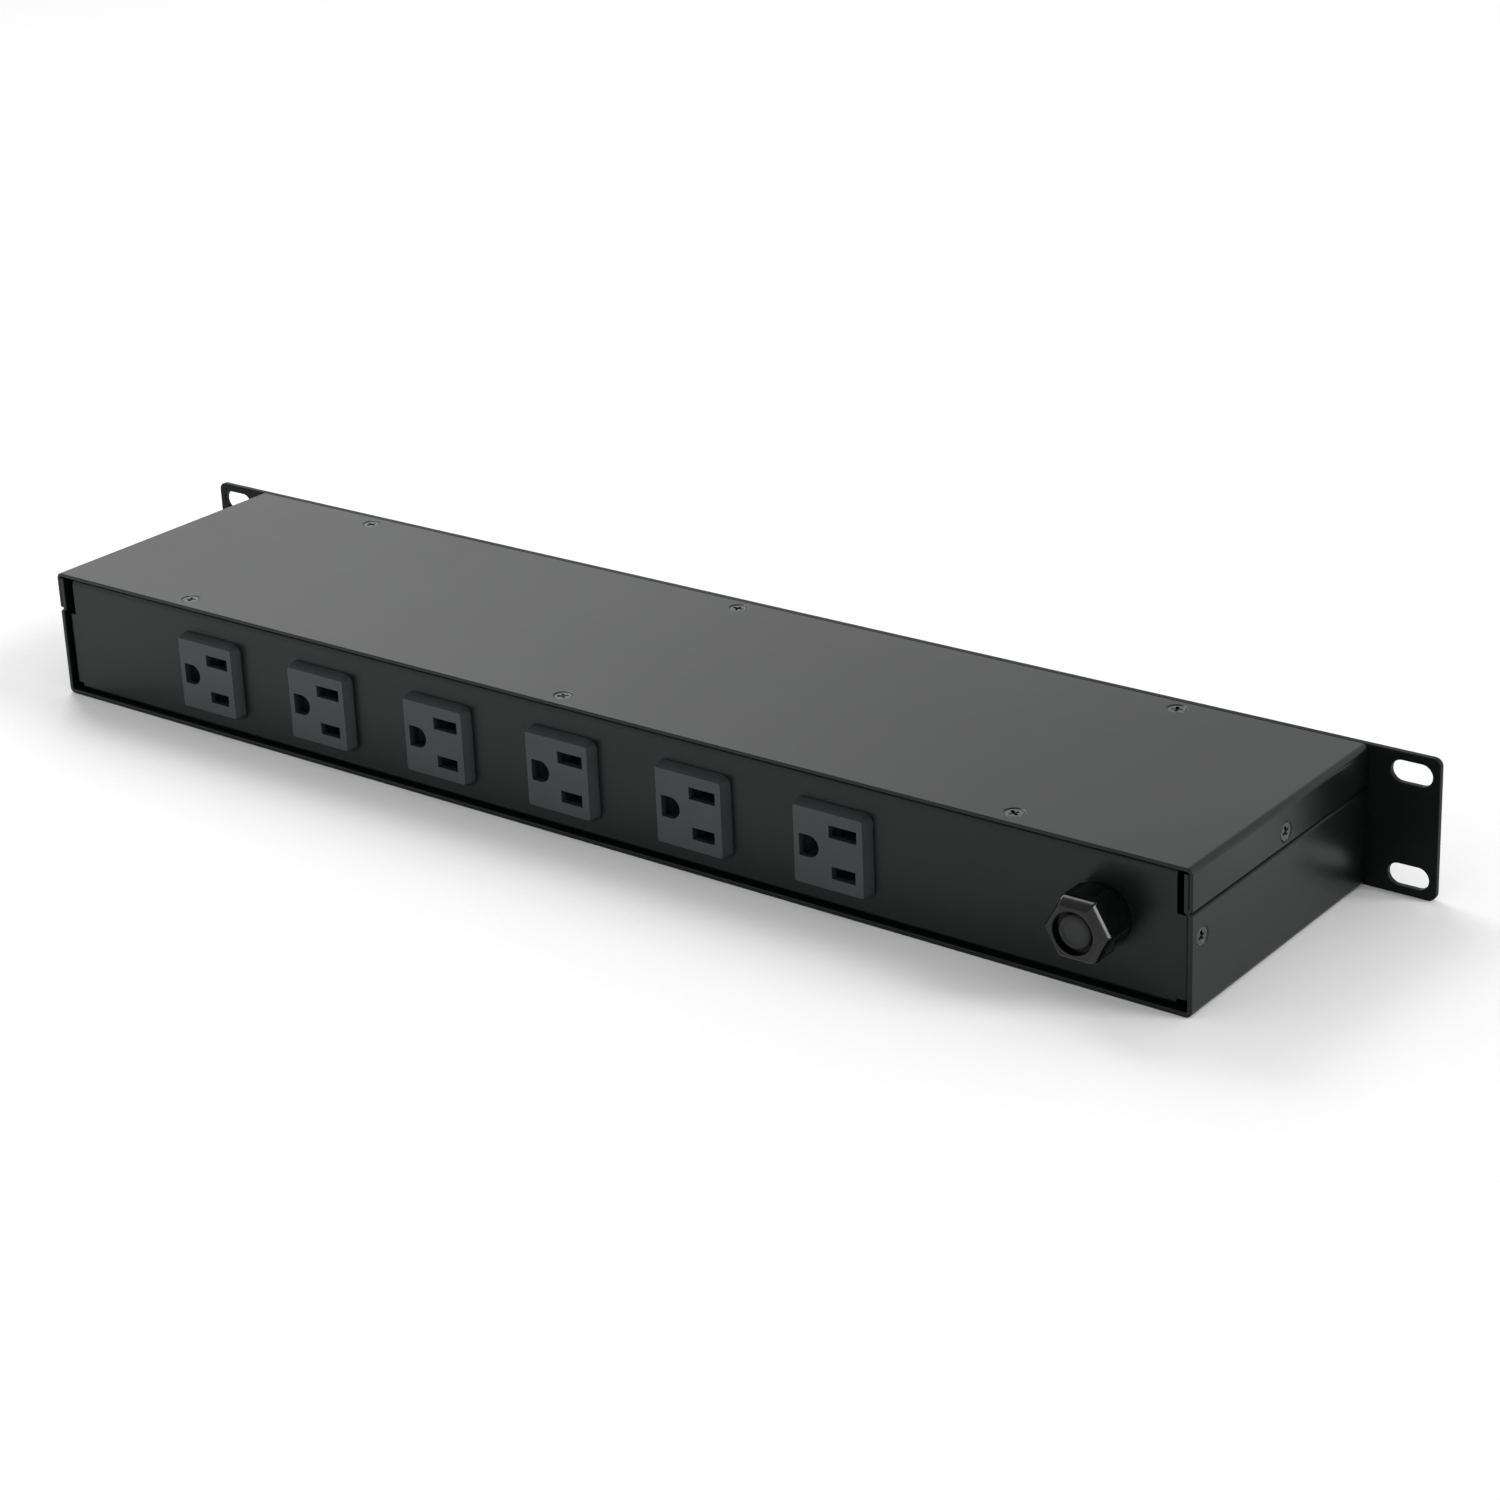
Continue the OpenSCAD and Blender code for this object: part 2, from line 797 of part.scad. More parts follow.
module earth_ring() {
    ring_r = 4;
    color("#c9a24a")
        difference() {
            union() {
                translate([earth_x, earth_y, block_base_z])
                    cylinder(r = ring_r, h = 0.8);
                translate([earth_x - 1.6, earth_y, block_base_z])
                    cube([3.2, 12, 0.8]);
            }
            translate([earth_x, earth_y, block_base_z - eps])
                cylinder(r = earth_r + 0.1, h = 1);
        }
}

module earth_washer() {
    color("#b9bcc0")
        difference() {
            translate([earth_x, earth_y, block_base_z + 0.8])
                cylinder(r = 4, h = 0.8);
            translate([earth_x, earth_y, block_base_z])
                cylinder(r = earth_r + 0.1, h = 3);
        }
}

module earth_nut() {
    color("#b9bcc0")
        difference() {
            translate([earth_x, earth_y, block_base_z + 1.6])
                cylinder(r = 7 / sqrt(3), h = 3.2, $fn = 6);
            translate([earth_x, earth_y, block_base_z])
                cylinder(r = earth_r + 0.05, h = 6);
        }
}

// ---------- switch ----------

module switch_housing() {
    body_w_s = switch_open_w + 2 * switch_wall;
    body_h_s = switch_open_h + 2 * switch_wall;
    bezel_y = -panel_t - switch_bezel_t;
    color("#1e1f20")
        translate([switch_x, 0, 0])
            difference() {
                union() {
                    xz_plate(bezel_y, -panel_t)
                        round_rect(body_w_s + 2 * switch_bezel_lip,
                            body_h_s + 2 * switch_bezel_lip, 1.5);
                    y_block(0, 0, body_w_s, body_h_s, -panel_t - eps, switch_depth);
                }
                y_block(0, 0, switch_open_w, switch_open_h, bezel_y - eps,
                    switch_depth - switch_wall);
                for (z = switch_tails_z)
                    y_block(0, z, 6.4, 0.9, switch_depth - 3, switch_depth + eps);
                translate([-body_w_s / 2 - eps, pivot_y, 0])
                    rotate([0, 90, 0])
                        cylinder(r = pivot_r + 0.02, h = body_w_s + 2 * eps);
            }
}

// The half-plane behind one of the rocker's two faces, which meet in a shallow hollow
module rocker_facet() {
    hollow = 1.4;
    reach = 40;
    translate([-rocker_front + hollow, 0])
        rotate(-rocker_tilt)
            translate([0, -reach])
                square([reach, 2 * reach]);
}

module rocker_profile() {
    difference() {
        intersection() {
            circle(r = rocker_r, $fn = 96);
            translate([-rocker_front, -rocker_r - 1])
                square([rocker_front + rocker_back, 2 * rocker_r + 2]);
            union() {
                rocker_facet();
                mirror([0, 1])
                    rocker_facet();
            }
        }
        circle(r = pivot_r + 0.05);
    }
}

module switch_rocker() {
    color("#8e1d1a")
        translate([switch_x - rocker_w / 2, pivot_y, 0])
            rotate([-rocker_tilt, 0, 0])
                rotate([90, 0, 90])
                    linear_extrude(rocker_w)
                        rocker_profile();
}

module switch_pivot_pin() {
    body_w_s = switch_open_w + 2 * switch_wall;
    color("#b9bcc0")
        translate([switch_x - body_w_s / 2, pivot_y, 0])
            rotate([0, 90, 0])
                cylinder(r = pivot_r, h = body_w_s);
}

module switch_terminals() {
    color("#c9a24a")
        for (z = switch_tails_z)
            y_block(switch_x, z, 6.3, 0.8, switch_depth - 4, switch_tail_y);
}

module switch_lamp() {
    lamp_r = 1.5;
    lamp_len = 6;
    color("#e0a030")
        translate([switch_x - lamp_len / 2, switch_depth - switch_wall - lamp_r, -3])
            rotate([0, 90, 0])
                cylinder(r = lamp_r, h = lamp_len);
}

// ---------- breaker ----------

module breaker_body() {
    neck_y = -panel_t - neck_len + 1;
    color("#1c1d1e")
        difference() {
            union() {
                y_block(breaker_x, 0, breaker_w, breaker_h, breaker_y, breaker_y + breaker_d);
                y_rod(breaker_x, 0, neck_r, neck_y, breaker_y + eps);
            }
            y_rod(breaker_x, 0, button_r + button_gap, neck_y - eps, breaker_y + 3);
            y_rod(breaker_x, 0, 4.9, breaker_y + 2, breaker_y + 12);
            for (s = [-1, 1])
                y_block(breaker_x, s * breaker_tail_z, 6.4, 0.9, breaker_y + breaker_d - 4,
                    breaker_y + breaker_d + eps);
        }
}

module breaker_button() {
    tip_y = -panel_t - neck_len + 1 - button_proud;
    flange_y = breaker_y + 2 + button_travel + 0.3;
    color("#d8d8d4")
        union() {
            y_rod(breaker_x, 0, button_r, tip_y + 0.8, flange_y + 2);
            translate([breaker_x, tip_y + 0.8, 0])
                rotate([90, 0, 0])
                    cylinder(r1 = button_r, r2 = button_r - 0.8, h = 0.8);
            y_rod(breaker_x, 0, 4.6, flange_y, flange_y + 1.6);
        }
}

module breaker_panel_nut() {
    color("#b9bcc0")
        difference() {
            y_hex(breaker_x, 0, 14, -panel_t - 2.6, -panel_t);
            y_rod(breaker_x, 0, neck_r + 0.05, -panel_t - 3, -panel_t + eps);
        }
}

module breaker_terminals() {
    color("#c9a24a")
        for (s = [-1, 1])
            y_block(breaker_x, s * breaker_tail_z, 6.3, 0.8, breaker_y + breaker_d - 4,
                breaker_tail_y);
}

// ---------- cable gland ----------

module gland_gasket() {
    color("#161616")
        difference() {
            y_rod(gland_x, gland_z, gland_flats / 2 + 0.4, rear_y, rear_y + gasket_t);
            y_rod(gland_x, gland_z, gland_thread_r + 0.05, rear_y - eps, rear_y + gasket_t + eps);
        }
}

module gland_body() {
    collar_y = rear_y + gasket_t;
    barrel_end_y = gland_nut_y + 6.5;
    color("#1a1b1c")
        difference() {
            union() {
                y_rod(gland_x, gland_z, gland_thread_r, rear_y - gland_tail, collar_y + eps);
                y_rod(gland_x, gland_z, gland_flats / 2 + 0.5, collar_y, collar_y + collar_t);
                y_rod(gland_x, gland_z, gland_thread_r - 0.5, collar_y + collar_t - eps,
                    barrel_end_y);
            }
            y_rod(gland_x, gland_z, gland_bore_r + 0.1, rear_y - gland_tail - eps, barrel_end_y + eps);
        }
}

module gland_lock_nut() {
    lock_y = rear_y - tray_t;
    color("#1a1b1c")
        difference() {
            y_hex(gland_x, gland_z, 19, lock_y - 4.5, lock_y);
            y_rod(gland_x, gland_z, gland_thread_r + 0.05, lock_y - 5, lock_y + eps);
        }
}

module gland_seal() {
    seal_y = gland_nut_y + 6.6;
    color("#121212")
        difference() {
            y_rod(gland_x, gland_z, gland_thread_r - 0.5, seal_y, gland_end_y - nut_lip);
            y_rod(gland_x, gland_z, gland_bore_r + 0.02, seal_y - eps, gland_end_y);
        }
}

// The profile of one pair of flats: straight sides that curve in to the front face
module nut_profile() {
    depth = gland_end_y - gland_nut_y;
    straight = depth - nut_curve_len;
    half = gland_flats / 2;
    translate([0, -half])
        square([straight, gland_flats]);
    for (s = [-1, 1])
        scale([1, s])
            intersection() {
                translate([straight, 0])
                    square([nut_curve_len, half]);
                translate([straight, half - nut_curve_r])
                    circle(r = nut_curve_r, $fn = 96);
            }
}

module nut_flats(angle) {
    rotate([0, angle, 0])
        yz_bar(-gland_flats, gland_flats)
            nut_profile();
}

module gland_nut() {
    color("#1a1b1c")
        difference() {
            translate([gland_x, gland_nut_y, gland_z])
                intersection() {
                    nut_flats(0);
                    nut_flats(60);
                    nut_flats(120);
                }
            y_rod(gland_x, gland_z, gland_thread_r - 0.4, gland_nut_y - eps,
                gland_end_y - nut_lip);
            y_rod(gland_x, gland_z, gland_bore_r + mouth_gap, gland_end_y - nut_lip - eps,
                gland_end_y + eps);
        }
}

module gland_plug() {
    tip = 1.2;
    plug_end_y = gland_end_y - 0.6;
    color("#2a2c2e")
        translate([gland_x, 0, gland_z])
            rotate([-90, 0, 0])
                rotate_extrude($fn = 64) {
                    translate([0, rear_y - 6])
                        square([gland_bore_r, plug_end_y - tip - rear_y + 6]);
                    translate([0, plug_end_y - tip])
                        square([gland_bore_r - tip, tip]);
                    translate([gland_bore_r - tip, plug_end_y - tip])
                        intersection() {
                            circle(r = tip, $fn = 32);
                            square(tip);
                        }
                }
}

tray();
top_cover();
rear_panel();
front_panel();
front_panel_studs();
front_panel_washers();
front_panel_nuts();
cover_top_screws();
cover_side_screws();
rear_panel_screws();
outlet_1_housing();
outlet_2_housing();
outlet_3_housing();
outlet_4_housing();
outlet_5_housing();
outlet_6_housing();
outlet_1_back();
outlet_2_back();
outlet_3_back();
outlet_4_back();
outlet_5_back();
outlet_6_back();
line_contacts();
neutral_contacts();
ground_contacts();
line_bus_wire();
neutral_bus_wire();
ground_bus_wire();
supply_line_lead();
supply_neutral_lead();
supply_ground_lead();
switch_lead();
terminal_block();
terminal_clamp_screws();
terminal_mount_screws();
earth_stud();
earth_ring();
earth_washer();
earth_nut();
switch_housing();
switch_rocker();
switch_pivot_pin();
switch_terminals();
switch_lamp();
breaker_body();
breaker_button();
breaker_panel_nut();
breaker_terminals();
gland_gasket();
gland_body();
gland_lock_nut();
gland_seal();
gland_nut();
gland_plug();
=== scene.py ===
import json
import math

import bpy
from bpy.props import (
    FloatProperty,
    FloatVectorProperty,
    IntProperty,
    PointerProperty,
)
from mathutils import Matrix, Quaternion, Vector


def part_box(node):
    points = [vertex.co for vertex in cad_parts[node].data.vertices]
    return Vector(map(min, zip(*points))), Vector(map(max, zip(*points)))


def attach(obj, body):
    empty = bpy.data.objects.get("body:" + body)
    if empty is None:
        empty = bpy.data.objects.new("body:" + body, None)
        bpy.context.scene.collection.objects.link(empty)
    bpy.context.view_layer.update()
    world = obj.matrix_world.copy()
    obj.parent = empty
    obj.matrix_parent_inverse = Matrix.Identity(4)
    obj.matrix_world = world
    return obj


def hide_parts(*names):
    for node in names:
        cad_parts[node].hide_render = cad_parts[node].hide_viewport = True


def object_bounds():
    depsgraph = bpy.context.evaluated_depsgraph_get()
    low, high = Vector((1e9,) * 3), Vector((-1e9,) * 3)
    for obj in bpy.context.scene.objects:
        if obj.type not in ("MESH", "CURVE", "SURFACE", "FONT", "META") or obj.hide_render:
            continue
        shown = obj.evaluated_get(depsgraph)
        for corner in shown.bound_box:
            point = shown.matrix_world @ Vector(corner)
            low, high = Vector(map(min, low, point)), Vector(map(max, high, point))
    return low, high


bl_info = {
    "name": "Rack Power Strip",
    "version": (1, 0, 0),
    "blender": (4, 5, 0),
    "location": "View3D > Sidebar > Power Strip",
    "description": "Models the visible pieces and finishes of a rack power strip around its packed CAD frame",
    "category": "Object",
}

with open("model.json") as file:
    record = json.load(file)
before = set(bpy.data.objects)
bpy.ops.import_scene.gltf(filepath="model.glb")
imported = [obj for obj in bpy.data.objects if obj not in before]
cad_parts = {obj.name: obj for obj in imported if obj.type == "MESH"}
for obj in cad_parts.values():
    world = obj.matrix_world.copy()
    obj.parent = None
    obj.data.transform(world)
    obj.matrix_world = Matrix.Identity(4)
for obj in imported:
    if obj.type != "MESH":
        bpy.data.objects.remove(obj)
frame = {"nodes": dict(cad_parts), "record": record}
CAD_LOW, CAD_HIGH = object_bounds()
MM = 0.001
OUTLETS = 6


def linear(hex_colour):
    """The linear colour of an sRGB hex value."""
    parts = [int(hex_colour[i : i + 2], 16) / 255 for i in (1, 3, 5)]
    return tuple(p / 12.92 if p <= 0.04045 else ((p + 0.055) / 1.055) ** 2.4 for p in parts)


def length(name, description, mm):
    """A length property with its default given in millimetres."""
    return FloatProperty(
        name=name, description=description, default=mm * MM, min=0, unit="LENGTH", precision=5
    )


def angle(name, description, degrees):
    """An angle property with its default given in degrees."""
    return FloatProperty(
        name=name, description=description, default=math.radians(degrees), subtype="ANGLE"
    )


def point(name, description, mm):
    """A place property with its default given in millimetres."""
    return FloatVectorProperty(
        name=name, description=description, default=[c * MM for c in mm],
        subtype="TRANSLATION", precision=5,
    )


def strength(name, description, default):
    """A property for the strength of a light."""
    return FloatProperty(name=name, description=description, default=default, min=0)


def colour(name, description, hex_colour):
    """A colour property with its default given as an sRGB hex value."""
    return FloatVectorProperty(
        name=name, description=description, default=linear(hex_colour), subtype="COLOR",
        min=0, max=1,
    )


# ---------- settings ----------


class StageSettings(bpy.types.PropertyGroup):
    """Camera, floor and lights."""

    azimuth: angle("Azimuth", "Direction that the camera looks from, round the strip", 219.27)
    elevation: angle("Elevation", "Height of the camera above the horizon", 20.93)
    roll: angle("Roll", "Turn of the camera about its own line of sight", 2.858)
    distance: length("Distance", "From the camera to the point that it faces", 956.9)
    aim: point(
        "Aim", "Point that the camera faces, with its Y counted from the rear panel",
        (-43.06, -6.9, 49.6),
    )
    lens: FloatProperty(
        name="Lens", description="Focal length on a 36 mm sensor, in millimetres", default=79.08
    )
    shift: FloatVectorProperty(
        name="Shift", description="Shift of the lens, right and up", size=2,
        default=(0.0494, -0.0777),
    )
    floor: colour("Floor", "Colour of the floor", "#fbfbfb")
    floor_size: length("Floor size", "Side of the square floor", 14000)
    key: strength("Key", "Strength of the high lamp", 0.35)
    key_from: point("Key from", "Direction that the high lamp shines from", (590, -500, 630))
    side: strength("Side", "Strength of the low lamp", 1.2)
    side_from: point("Side from", "Direction that the low lamp shines from", (-800, -300, 500))
    softness: angle("Softness", "Width of the two lamps, as seen from the strip", 24)
    streak: FloatProperty(
        name="Streak", description="Power of the small lamp", default=2.6, unit="POWER"
    )
    streak_at: point("Streak at", "Place of the small lamp", (708, -300, 888))
    streak_size: length("Streak size", "Side of the small lamp, which is square", 320)
    tent: strength("Tent", "Strength of the white surroundings", 0.98)
    tent_left: strength("Tent left", "Strength of the surroundings on the far left", 1.1)
    overhead: strength("Overhead", "Share of the surroundings' strength overhead", 0.5)


class SheetSettings(bpy.types.PropertyGroup):
    """Powder-coated sheet steel."""

    coat: colour("Coat", "Colour of the powder coat", "#070b0a")
    edge: length("Edge radius", "Rounding of the cut edges under the coat", 0.3)
    edge_steps: IntProperty(
        name="Edge steps", description="Faces across a rounded edge", default=3, min=1
    )


class ScrewSettings(bpy.types.PropertyGroup):
    """Countersunk cross-head screws."""

    finish: colour("Finish", "Colour of the black oxide", "#3c3d3f")
    head_height: length("Head height", "Depth of the countersunk head", 1.2)
    gap: length("Head gap", "Space between the head and its countersink", 0.42)
    sunk: length("Sunk", "How far the head sits below the sheet", 0.2)
    edge: length("Edge", "Rounding round the top of the head", 0.12)
    shank: length("Shank radius", "Radius of the thread's outside", 1.5)
    shank_length: length("Shank length", "Length below the head", 4.8)
    cross_length: length("Cross length", "Span of the cross recess", 3.7)
    cross_width: length("Cross width", "Width of the cross recess's wings", 1.0)
    cross_depth: length("Cross depth", "Depth of the cross recess", 1.1)
    first_turn: angle("First turn", "How the first screw's cross is turned", 20)
    next_turn: angle("Next turn", "How much further each next screw is turned", 37)


class OutletSettings(bpy.types.PropertyGroup):
    """Moulded outlets."""

    plastic: colour("Plastic", "Colour of the moulded plastic", "#27292c")
    rim: length("Rim", "Height of the bezel's upright edge", 0.6)
    bevel: length("Bevel", "Width of the slope round the face", 1.4)
    base_corner: length("Base corner", "Corner radius at the panel", 3.0)
    face_corner: length("Face corner", "Corner radius of the face", 0.8)
    face_edge: length("Face edge", "Rounding where the face meets the slope", 0.22)
    face_thickness: length("Face thickness", "Depth of the slots before they widen", 2.0)
    slot_height: length("Slot height", "Height of a blade slot", 3.8)
    neutral_width: length("Neutral slot", "Width of the longer blade slot", 9.6)
    line_width: length("Line slot", "Width of the shorter blade slot", 8.2)
    blade_span: length("Blade span", "Distance between the two blade slots", 12.7)
    blade_side: length("Blade offset", "Blade slots' distance from the middle", 5.2)
    ground_side: length("Ground offset", "Ground hole's distance from the middle", 6.7)
    ground_radius: length("Ground radius", "Radius of the D-shaped ground hole", 3.4)
    slot_edge: length("Slot edge", "Rounding round the slots and the ground hole", 0.12)
    body_step: length("Body step", "From the bezel's outline in to the body's", 1.2)
    cavity_width: length("Cavity width", "Width of the space behind a blade slot", 11.6)
    cavity_height: length("Cavity height", "Height of the space behind a blade slot", 8.6)
    well_round: length("Well, round side", "Space on the ground hole's round side", 4.9)
    well_flat: length("Well, flat side", "Space on the ground hole's flat side", 4.3)
    well_height: length("Well height", "Height of the space behind the ground hole", 9.2)


class GlandSettings(bpy.types.PropertyGroup):
    """Nylon cable gland."""

    nylon: colour("Nylon", "Colour of the moulded nylon", "#060707")
    rubber: colour("Rubber", "Colour of the plug and seal", "#131415")
    curve: length("Curve length", "Length over which the nut's flats curve in", 5.0)
    curve_in: length("Curve depth", "How far the flats curve in", 1.8)
    curve_steps: IntProperty(
        name="Curve steps", description="Rings along the curve", default=12, min=2
    )
    mouth: length("Mouth radius", "Radius of the nut's mouth", 6.3)
    mouth_edge: length("Mouth edge", "Rounding of the nut's mouth", 0.25)
    nut_bore: length("Nut bore", "Radius of the nut's threaded bore", 7.2)
    ridge: length("Ridge radius", "Rounding of the ridges between flats", 0.45)
    front_edge: length("Front edge", "Rounding round the nut's front", 0.3)
    back_edge: length("Back edge", "Rounding round the nut's back", 0.25)
    collar: length("Collar thickness", "Thickness of the body's collar", 1.5)
    teeth: IntProperty(name="Teeth", description="Serrations round the collar", default=60, min=12)
    tooth_depth: length("Tooth depth", "Depth of the gaps between the serrations", 0.3)
    neck: length("Neck radius", "Radius of the body inside the nut", 7.1)
    thread: length("Thread radius", "Radius of the body inside the panel", 7.6)
    body_bore: length("Body bore", "Radius of the hole through the body", 5.2)
    plug_edge: length("Plug edge", "Rounding of the plug's end", 1.4)
    plug_rings: IntProperty(
        name="Plug rings", description="Steps turned in the plug's end", default=3, min=0
    )
    plug_land: length("Plug land", "Width between the plug's steps", 0.7)
    plug_step: length("Plug step", "Width and depth of a step", 0.12)
    gasket_edge: length("Gasket edge", "Rounding of the gasket's edges", 0.15)


class SwitchSettings(bpy.types.PropertyGroup):
    """Power switch on the front panel."""

    housing: colour("Housing", "Colour of the switch housing", "#141415")
    housing_edge: length("Housing edge", "Rounding of the housing's edges", 0.3)
    rocker: colour("Rocker", "Colour of the translucent rocker", "#a8120e")
    rocker_edge: length("Rocker edge", "Rounding of the rocker's edges", 0.35)
    mark: colour("Marks", "Colour of the marks, and of the reset button", "#e6e5e0")
    mark_radius: length("Mark radius", "Radius of the ring, and half the bar's length", 1.7)
    mark_line: length("Mark line", "Width of the marks' lines", 0.5)
    mark_height: length("Mark height", "How far the marks stand out of the rocker", 0.05)


class BreakerSettings(bpy.types.PropertyGroup):
    """Circuit breaker on the front panel."""

    nut_edge: length("Nut edge", "Rounding of the panel nut", 0.5)
    nut_bore: length("Nut bore", "Radius of the panel nut's hole", 5.55)
    thread_crest: length("Thread crest", "Radius of the thread's ridges", 5.75)
    thread_root: length("Thread root", "Radius between the ridges", 5.52)
    thread_bore: length("Thread bore", "Radius inside the thread's sleeve", 5.45)
    thread_pitch: length("Thread pitch", "Distance between the ridges", 0.75)
    button: length("Button radius", "Radius of the reset button", 3.2)
    button_edge: length("Button edge", "Rounding of the button's end", 0.8)
    dish_rim: length("Dish rim", "Width of the flat round the dish in the button's end", 0.5)
    dish_slope: length("Dish slope", "Width of the dish's sloping side", 0.4)
    dish_depth: length("Dish depth", "Depth of the dish", 0.15)
    flange: length("Flange thickness", "Thickness of the flange inside the breaker", 1.6)
    flange_inset: length("Flange inset", "From the flange to the button's inner end", 0.4)


class StripSettings(bpy.types.PropertyGroup):
    """All settings of the power strip."""

    stage: PointerProperty(type=StageSettings, name="Stage")
    sheet: PointerProperty(type=SheetSettings, name="Sheet metal")
    screw: PointerProperty(type=ScrewSettings, name="Screws")
    outlet: PointerProperty(type=OutletSettings, name="Outlets")
    gland: PointerProperty(type=GlandSettings, name="Gland")
    switch: PointerProperty(type=SwitchSettings, name="Switch")
    breaker: PointerProperty(type=BreakerSettings, name="Breaker")


# ---------- modelling helpers ----------


def only(piece):
    """Leave edit mode, and make piece the one selected and active object."""
    if bpy.context.object is not None and bpy.context.object.mode != "OBJECT":
        bpy.ops.object.mode_set(mode="OBJECT")
    bpy.ops.object.select_all(action="DESELECT")
    piece.select_set(True)
    bpy.context.view_layer.objects.active = piece


def settle(piece):
    """Put the object at the origin, unturned and unscaled, with its place in its mesh."""
    only(piece)
    bpy.ops.object.transform_apply(location=True, rotation=True, scale=True)
    return piece


def add_block(name, low, high):
    """A block between two corners."""
    low, high = Vector(low), Vector(high)
    bpy.ops.mesh.primitive_cube_add(size=1, location=(low + high) / 2, scale=high - low)
    bpy.context.object.name = name
    return settle(bpy.context.object)


def add_rod(name, x, z, radius, y0, y1, sides=64, turn=0.0):
    """A rod along Y. A turn of zero leaves a corner at the top."""
    bpy.ops.mesh.primitive_cylinder_add(
        vertices=sides, radius=radius, depth=y1 - y0, location=(x, (y0 + y1) / 2, z),
        rotation=(math.pi / 2, turn, 0),
    )
    bpy.context.object.name = name
    return settle(bpy.context.object)


def span(node):
    """The two corners of a CAD node's box, and the X and Z of its middle."""
    low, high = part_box(node)
    return low, high, (low.x + high.x) / 2, (low.z + high.z) / 2


def pick(piece, kind, test):
    """Go to edit mode with only the vertices, edges or faces that pass the test selected."""
    only(piece)
    bpy.ops.object.mode_set(mode="EDIT")
    bpy.ops.mesh.select_mode(type=kind)
    bpy.ops.mesh.select_all(action="DESELECT")
    bpy.ops.object.mode_set(mode="OBJECT")
    mesh = piece.data
    parts = {"VERT": mesh.vertices, "EDGE": mesh.edges, "FACE": mesh.polygons}[kind]
    found = 0
    for part in parts:
        part.select = test(part)
        found += part.select
    if not found:
        raise RuntimeError(f"no {kind.lower()} of {piece.name} passes the test")
    bpy.ops.object.mode_set(mode="EDIT")


def round_edges(piece, test, radius, steps):
    """Round the edges whose two ends pass the test."""
    points = piece.data.vertices
    pick(piece, "EDGE", lambda e: test(points[e.vertices[0]].co, points[e.vertices[1]].co))
    bpy.ops.mesh.bevel(offset=radius, segments=steps, affect="EDGES")
    bpy.ops.object.mode_set(mode="OBJECT")


def along_y(a, b):
    """True for an edge that runs front to back."""
    return abs(a.y - b.y) > 1e-5 and abs(a.x - b.x) < 1e-6 and abs(a.z - b.z) < 1e-6


def at_y(y):
    """A test for edges that lie in the plane at y."""
    return lambda a, b: abs(a.y - y) < 2e-6 and abs(b.y - y) < 2e-6


def pick_end(piece, side):
    """Select the flat end of piece that faces along Y to that side, the outermost one."""
    ends = [f for f in piece.data.polygons if f.normal.y * side > 0.99]
    outermost = max(f.center.y * side for f in ends)
    pick(piece, "FACE", lambda f: f.normal.y * side > 0.99
         and abs(f.center.y * side - outermost) < 1e-6)


def extrude_end(piece, side, distance):
    """Extrude the outermost end of piece by a distance along Y."""
    pick_end(piece, side)
    bpy.ops.mesh.extrude_region_move(
        TRANSFORM_OT_translate={"value": (0, side * distance, 0)}
    )
    bpy.ops.object.mode_set(mode="OBJECT")


def inset_end(piece, side, thickness, depth=0.0):
    """Inset the outermost end of piece, and push it in by a depth."""
    pick_end(piece, side)
    bpy.ops.mesh.inset(thickness=thickness, depth=-depth)
    bpy.ops.object.mode_set(mode="OBJECT")


def scale_end(piece, side, share, x, z):
    """Scale the outermost end of piece about the line at x and z."""
    pick_end(piece, side)
    bpy.ops.transform.resize(value=(share, 1, share), center_override=(x, 0, z))
    bpy.ops.object.mode_set(mode="OBJECT")


def combine(piece, other, operation):
    """Cut other from piece, or add it, and remove other."""
    only(piece)
    modifier = piece.modifiers.new("combine", "BOOLEAN")
    modifier.operation = operation
    modifier.solver = "EXACT"
    modifier.object = other
    bpy.ops.object.modifier_apply(modifier=modifier.name)
    bpy.data.objects.remove(other, do_unlink=True)


def cut(piece, *cutters):
    """Cut each of these from piece."""
    for cutter in cutters:
        combine(piece, cutter, "DIFFERENCE")


def join(piece, *others):
    """Join the others into piece as separate shells."""
    only(piece)
    for other in others:
        other.select_set(True)
    bpy.ops.object.join()
    return piece


def copy_of(piece, name, offset):
    """A copy with its own mesh, moved by an offset."""
    only(piece)
    bpy.ops.object.duplicate(linked=False)
    twin = bpy.context.object
    twin.name = name
    twin.location = offset
    return settle(twin)


def cad_copy(node, name):
    """A merged copy of a CAD node's mesh, with its flat faces whole again."""
    piece = bpy.data.objects.new(name, frame["nodes"][node].data.copy())
    bpy.context.scene.collection.objects.link(piece)
    only(piece)
    bpy.ops.object.mode_set(mode="EDIT")
    bpy.ops.mesh.select_all(action="SELECT")
    bpy.ops.mesh.remove_doubles(threshold=1e-6)
    bpy.ops.mesh.customdata_custom_splitnormals_clear()
    bpy.ops.mesh.dissolve_limited(angle_limit=math.radians(1))
    bpy.ops.object.mode_set(mode="OBJECT")
    return piece


def soften(piece, radius, steps, sharp=30):
    """Round every sharp edge of piece, so that it catches the light."""
    only(piece)
    bevel = piece.modifiers.new("soften", "BEVEL")
    bevel.width = radius
    bevel.segments = steps
    bevel.limit_method = "ANGLE"
    bevel.angle_limit = math.radians(sharp)
    bevel.use_clamp_overlap = False
    bpy.ops.object.modifier_apply(modifier=bevel.name)


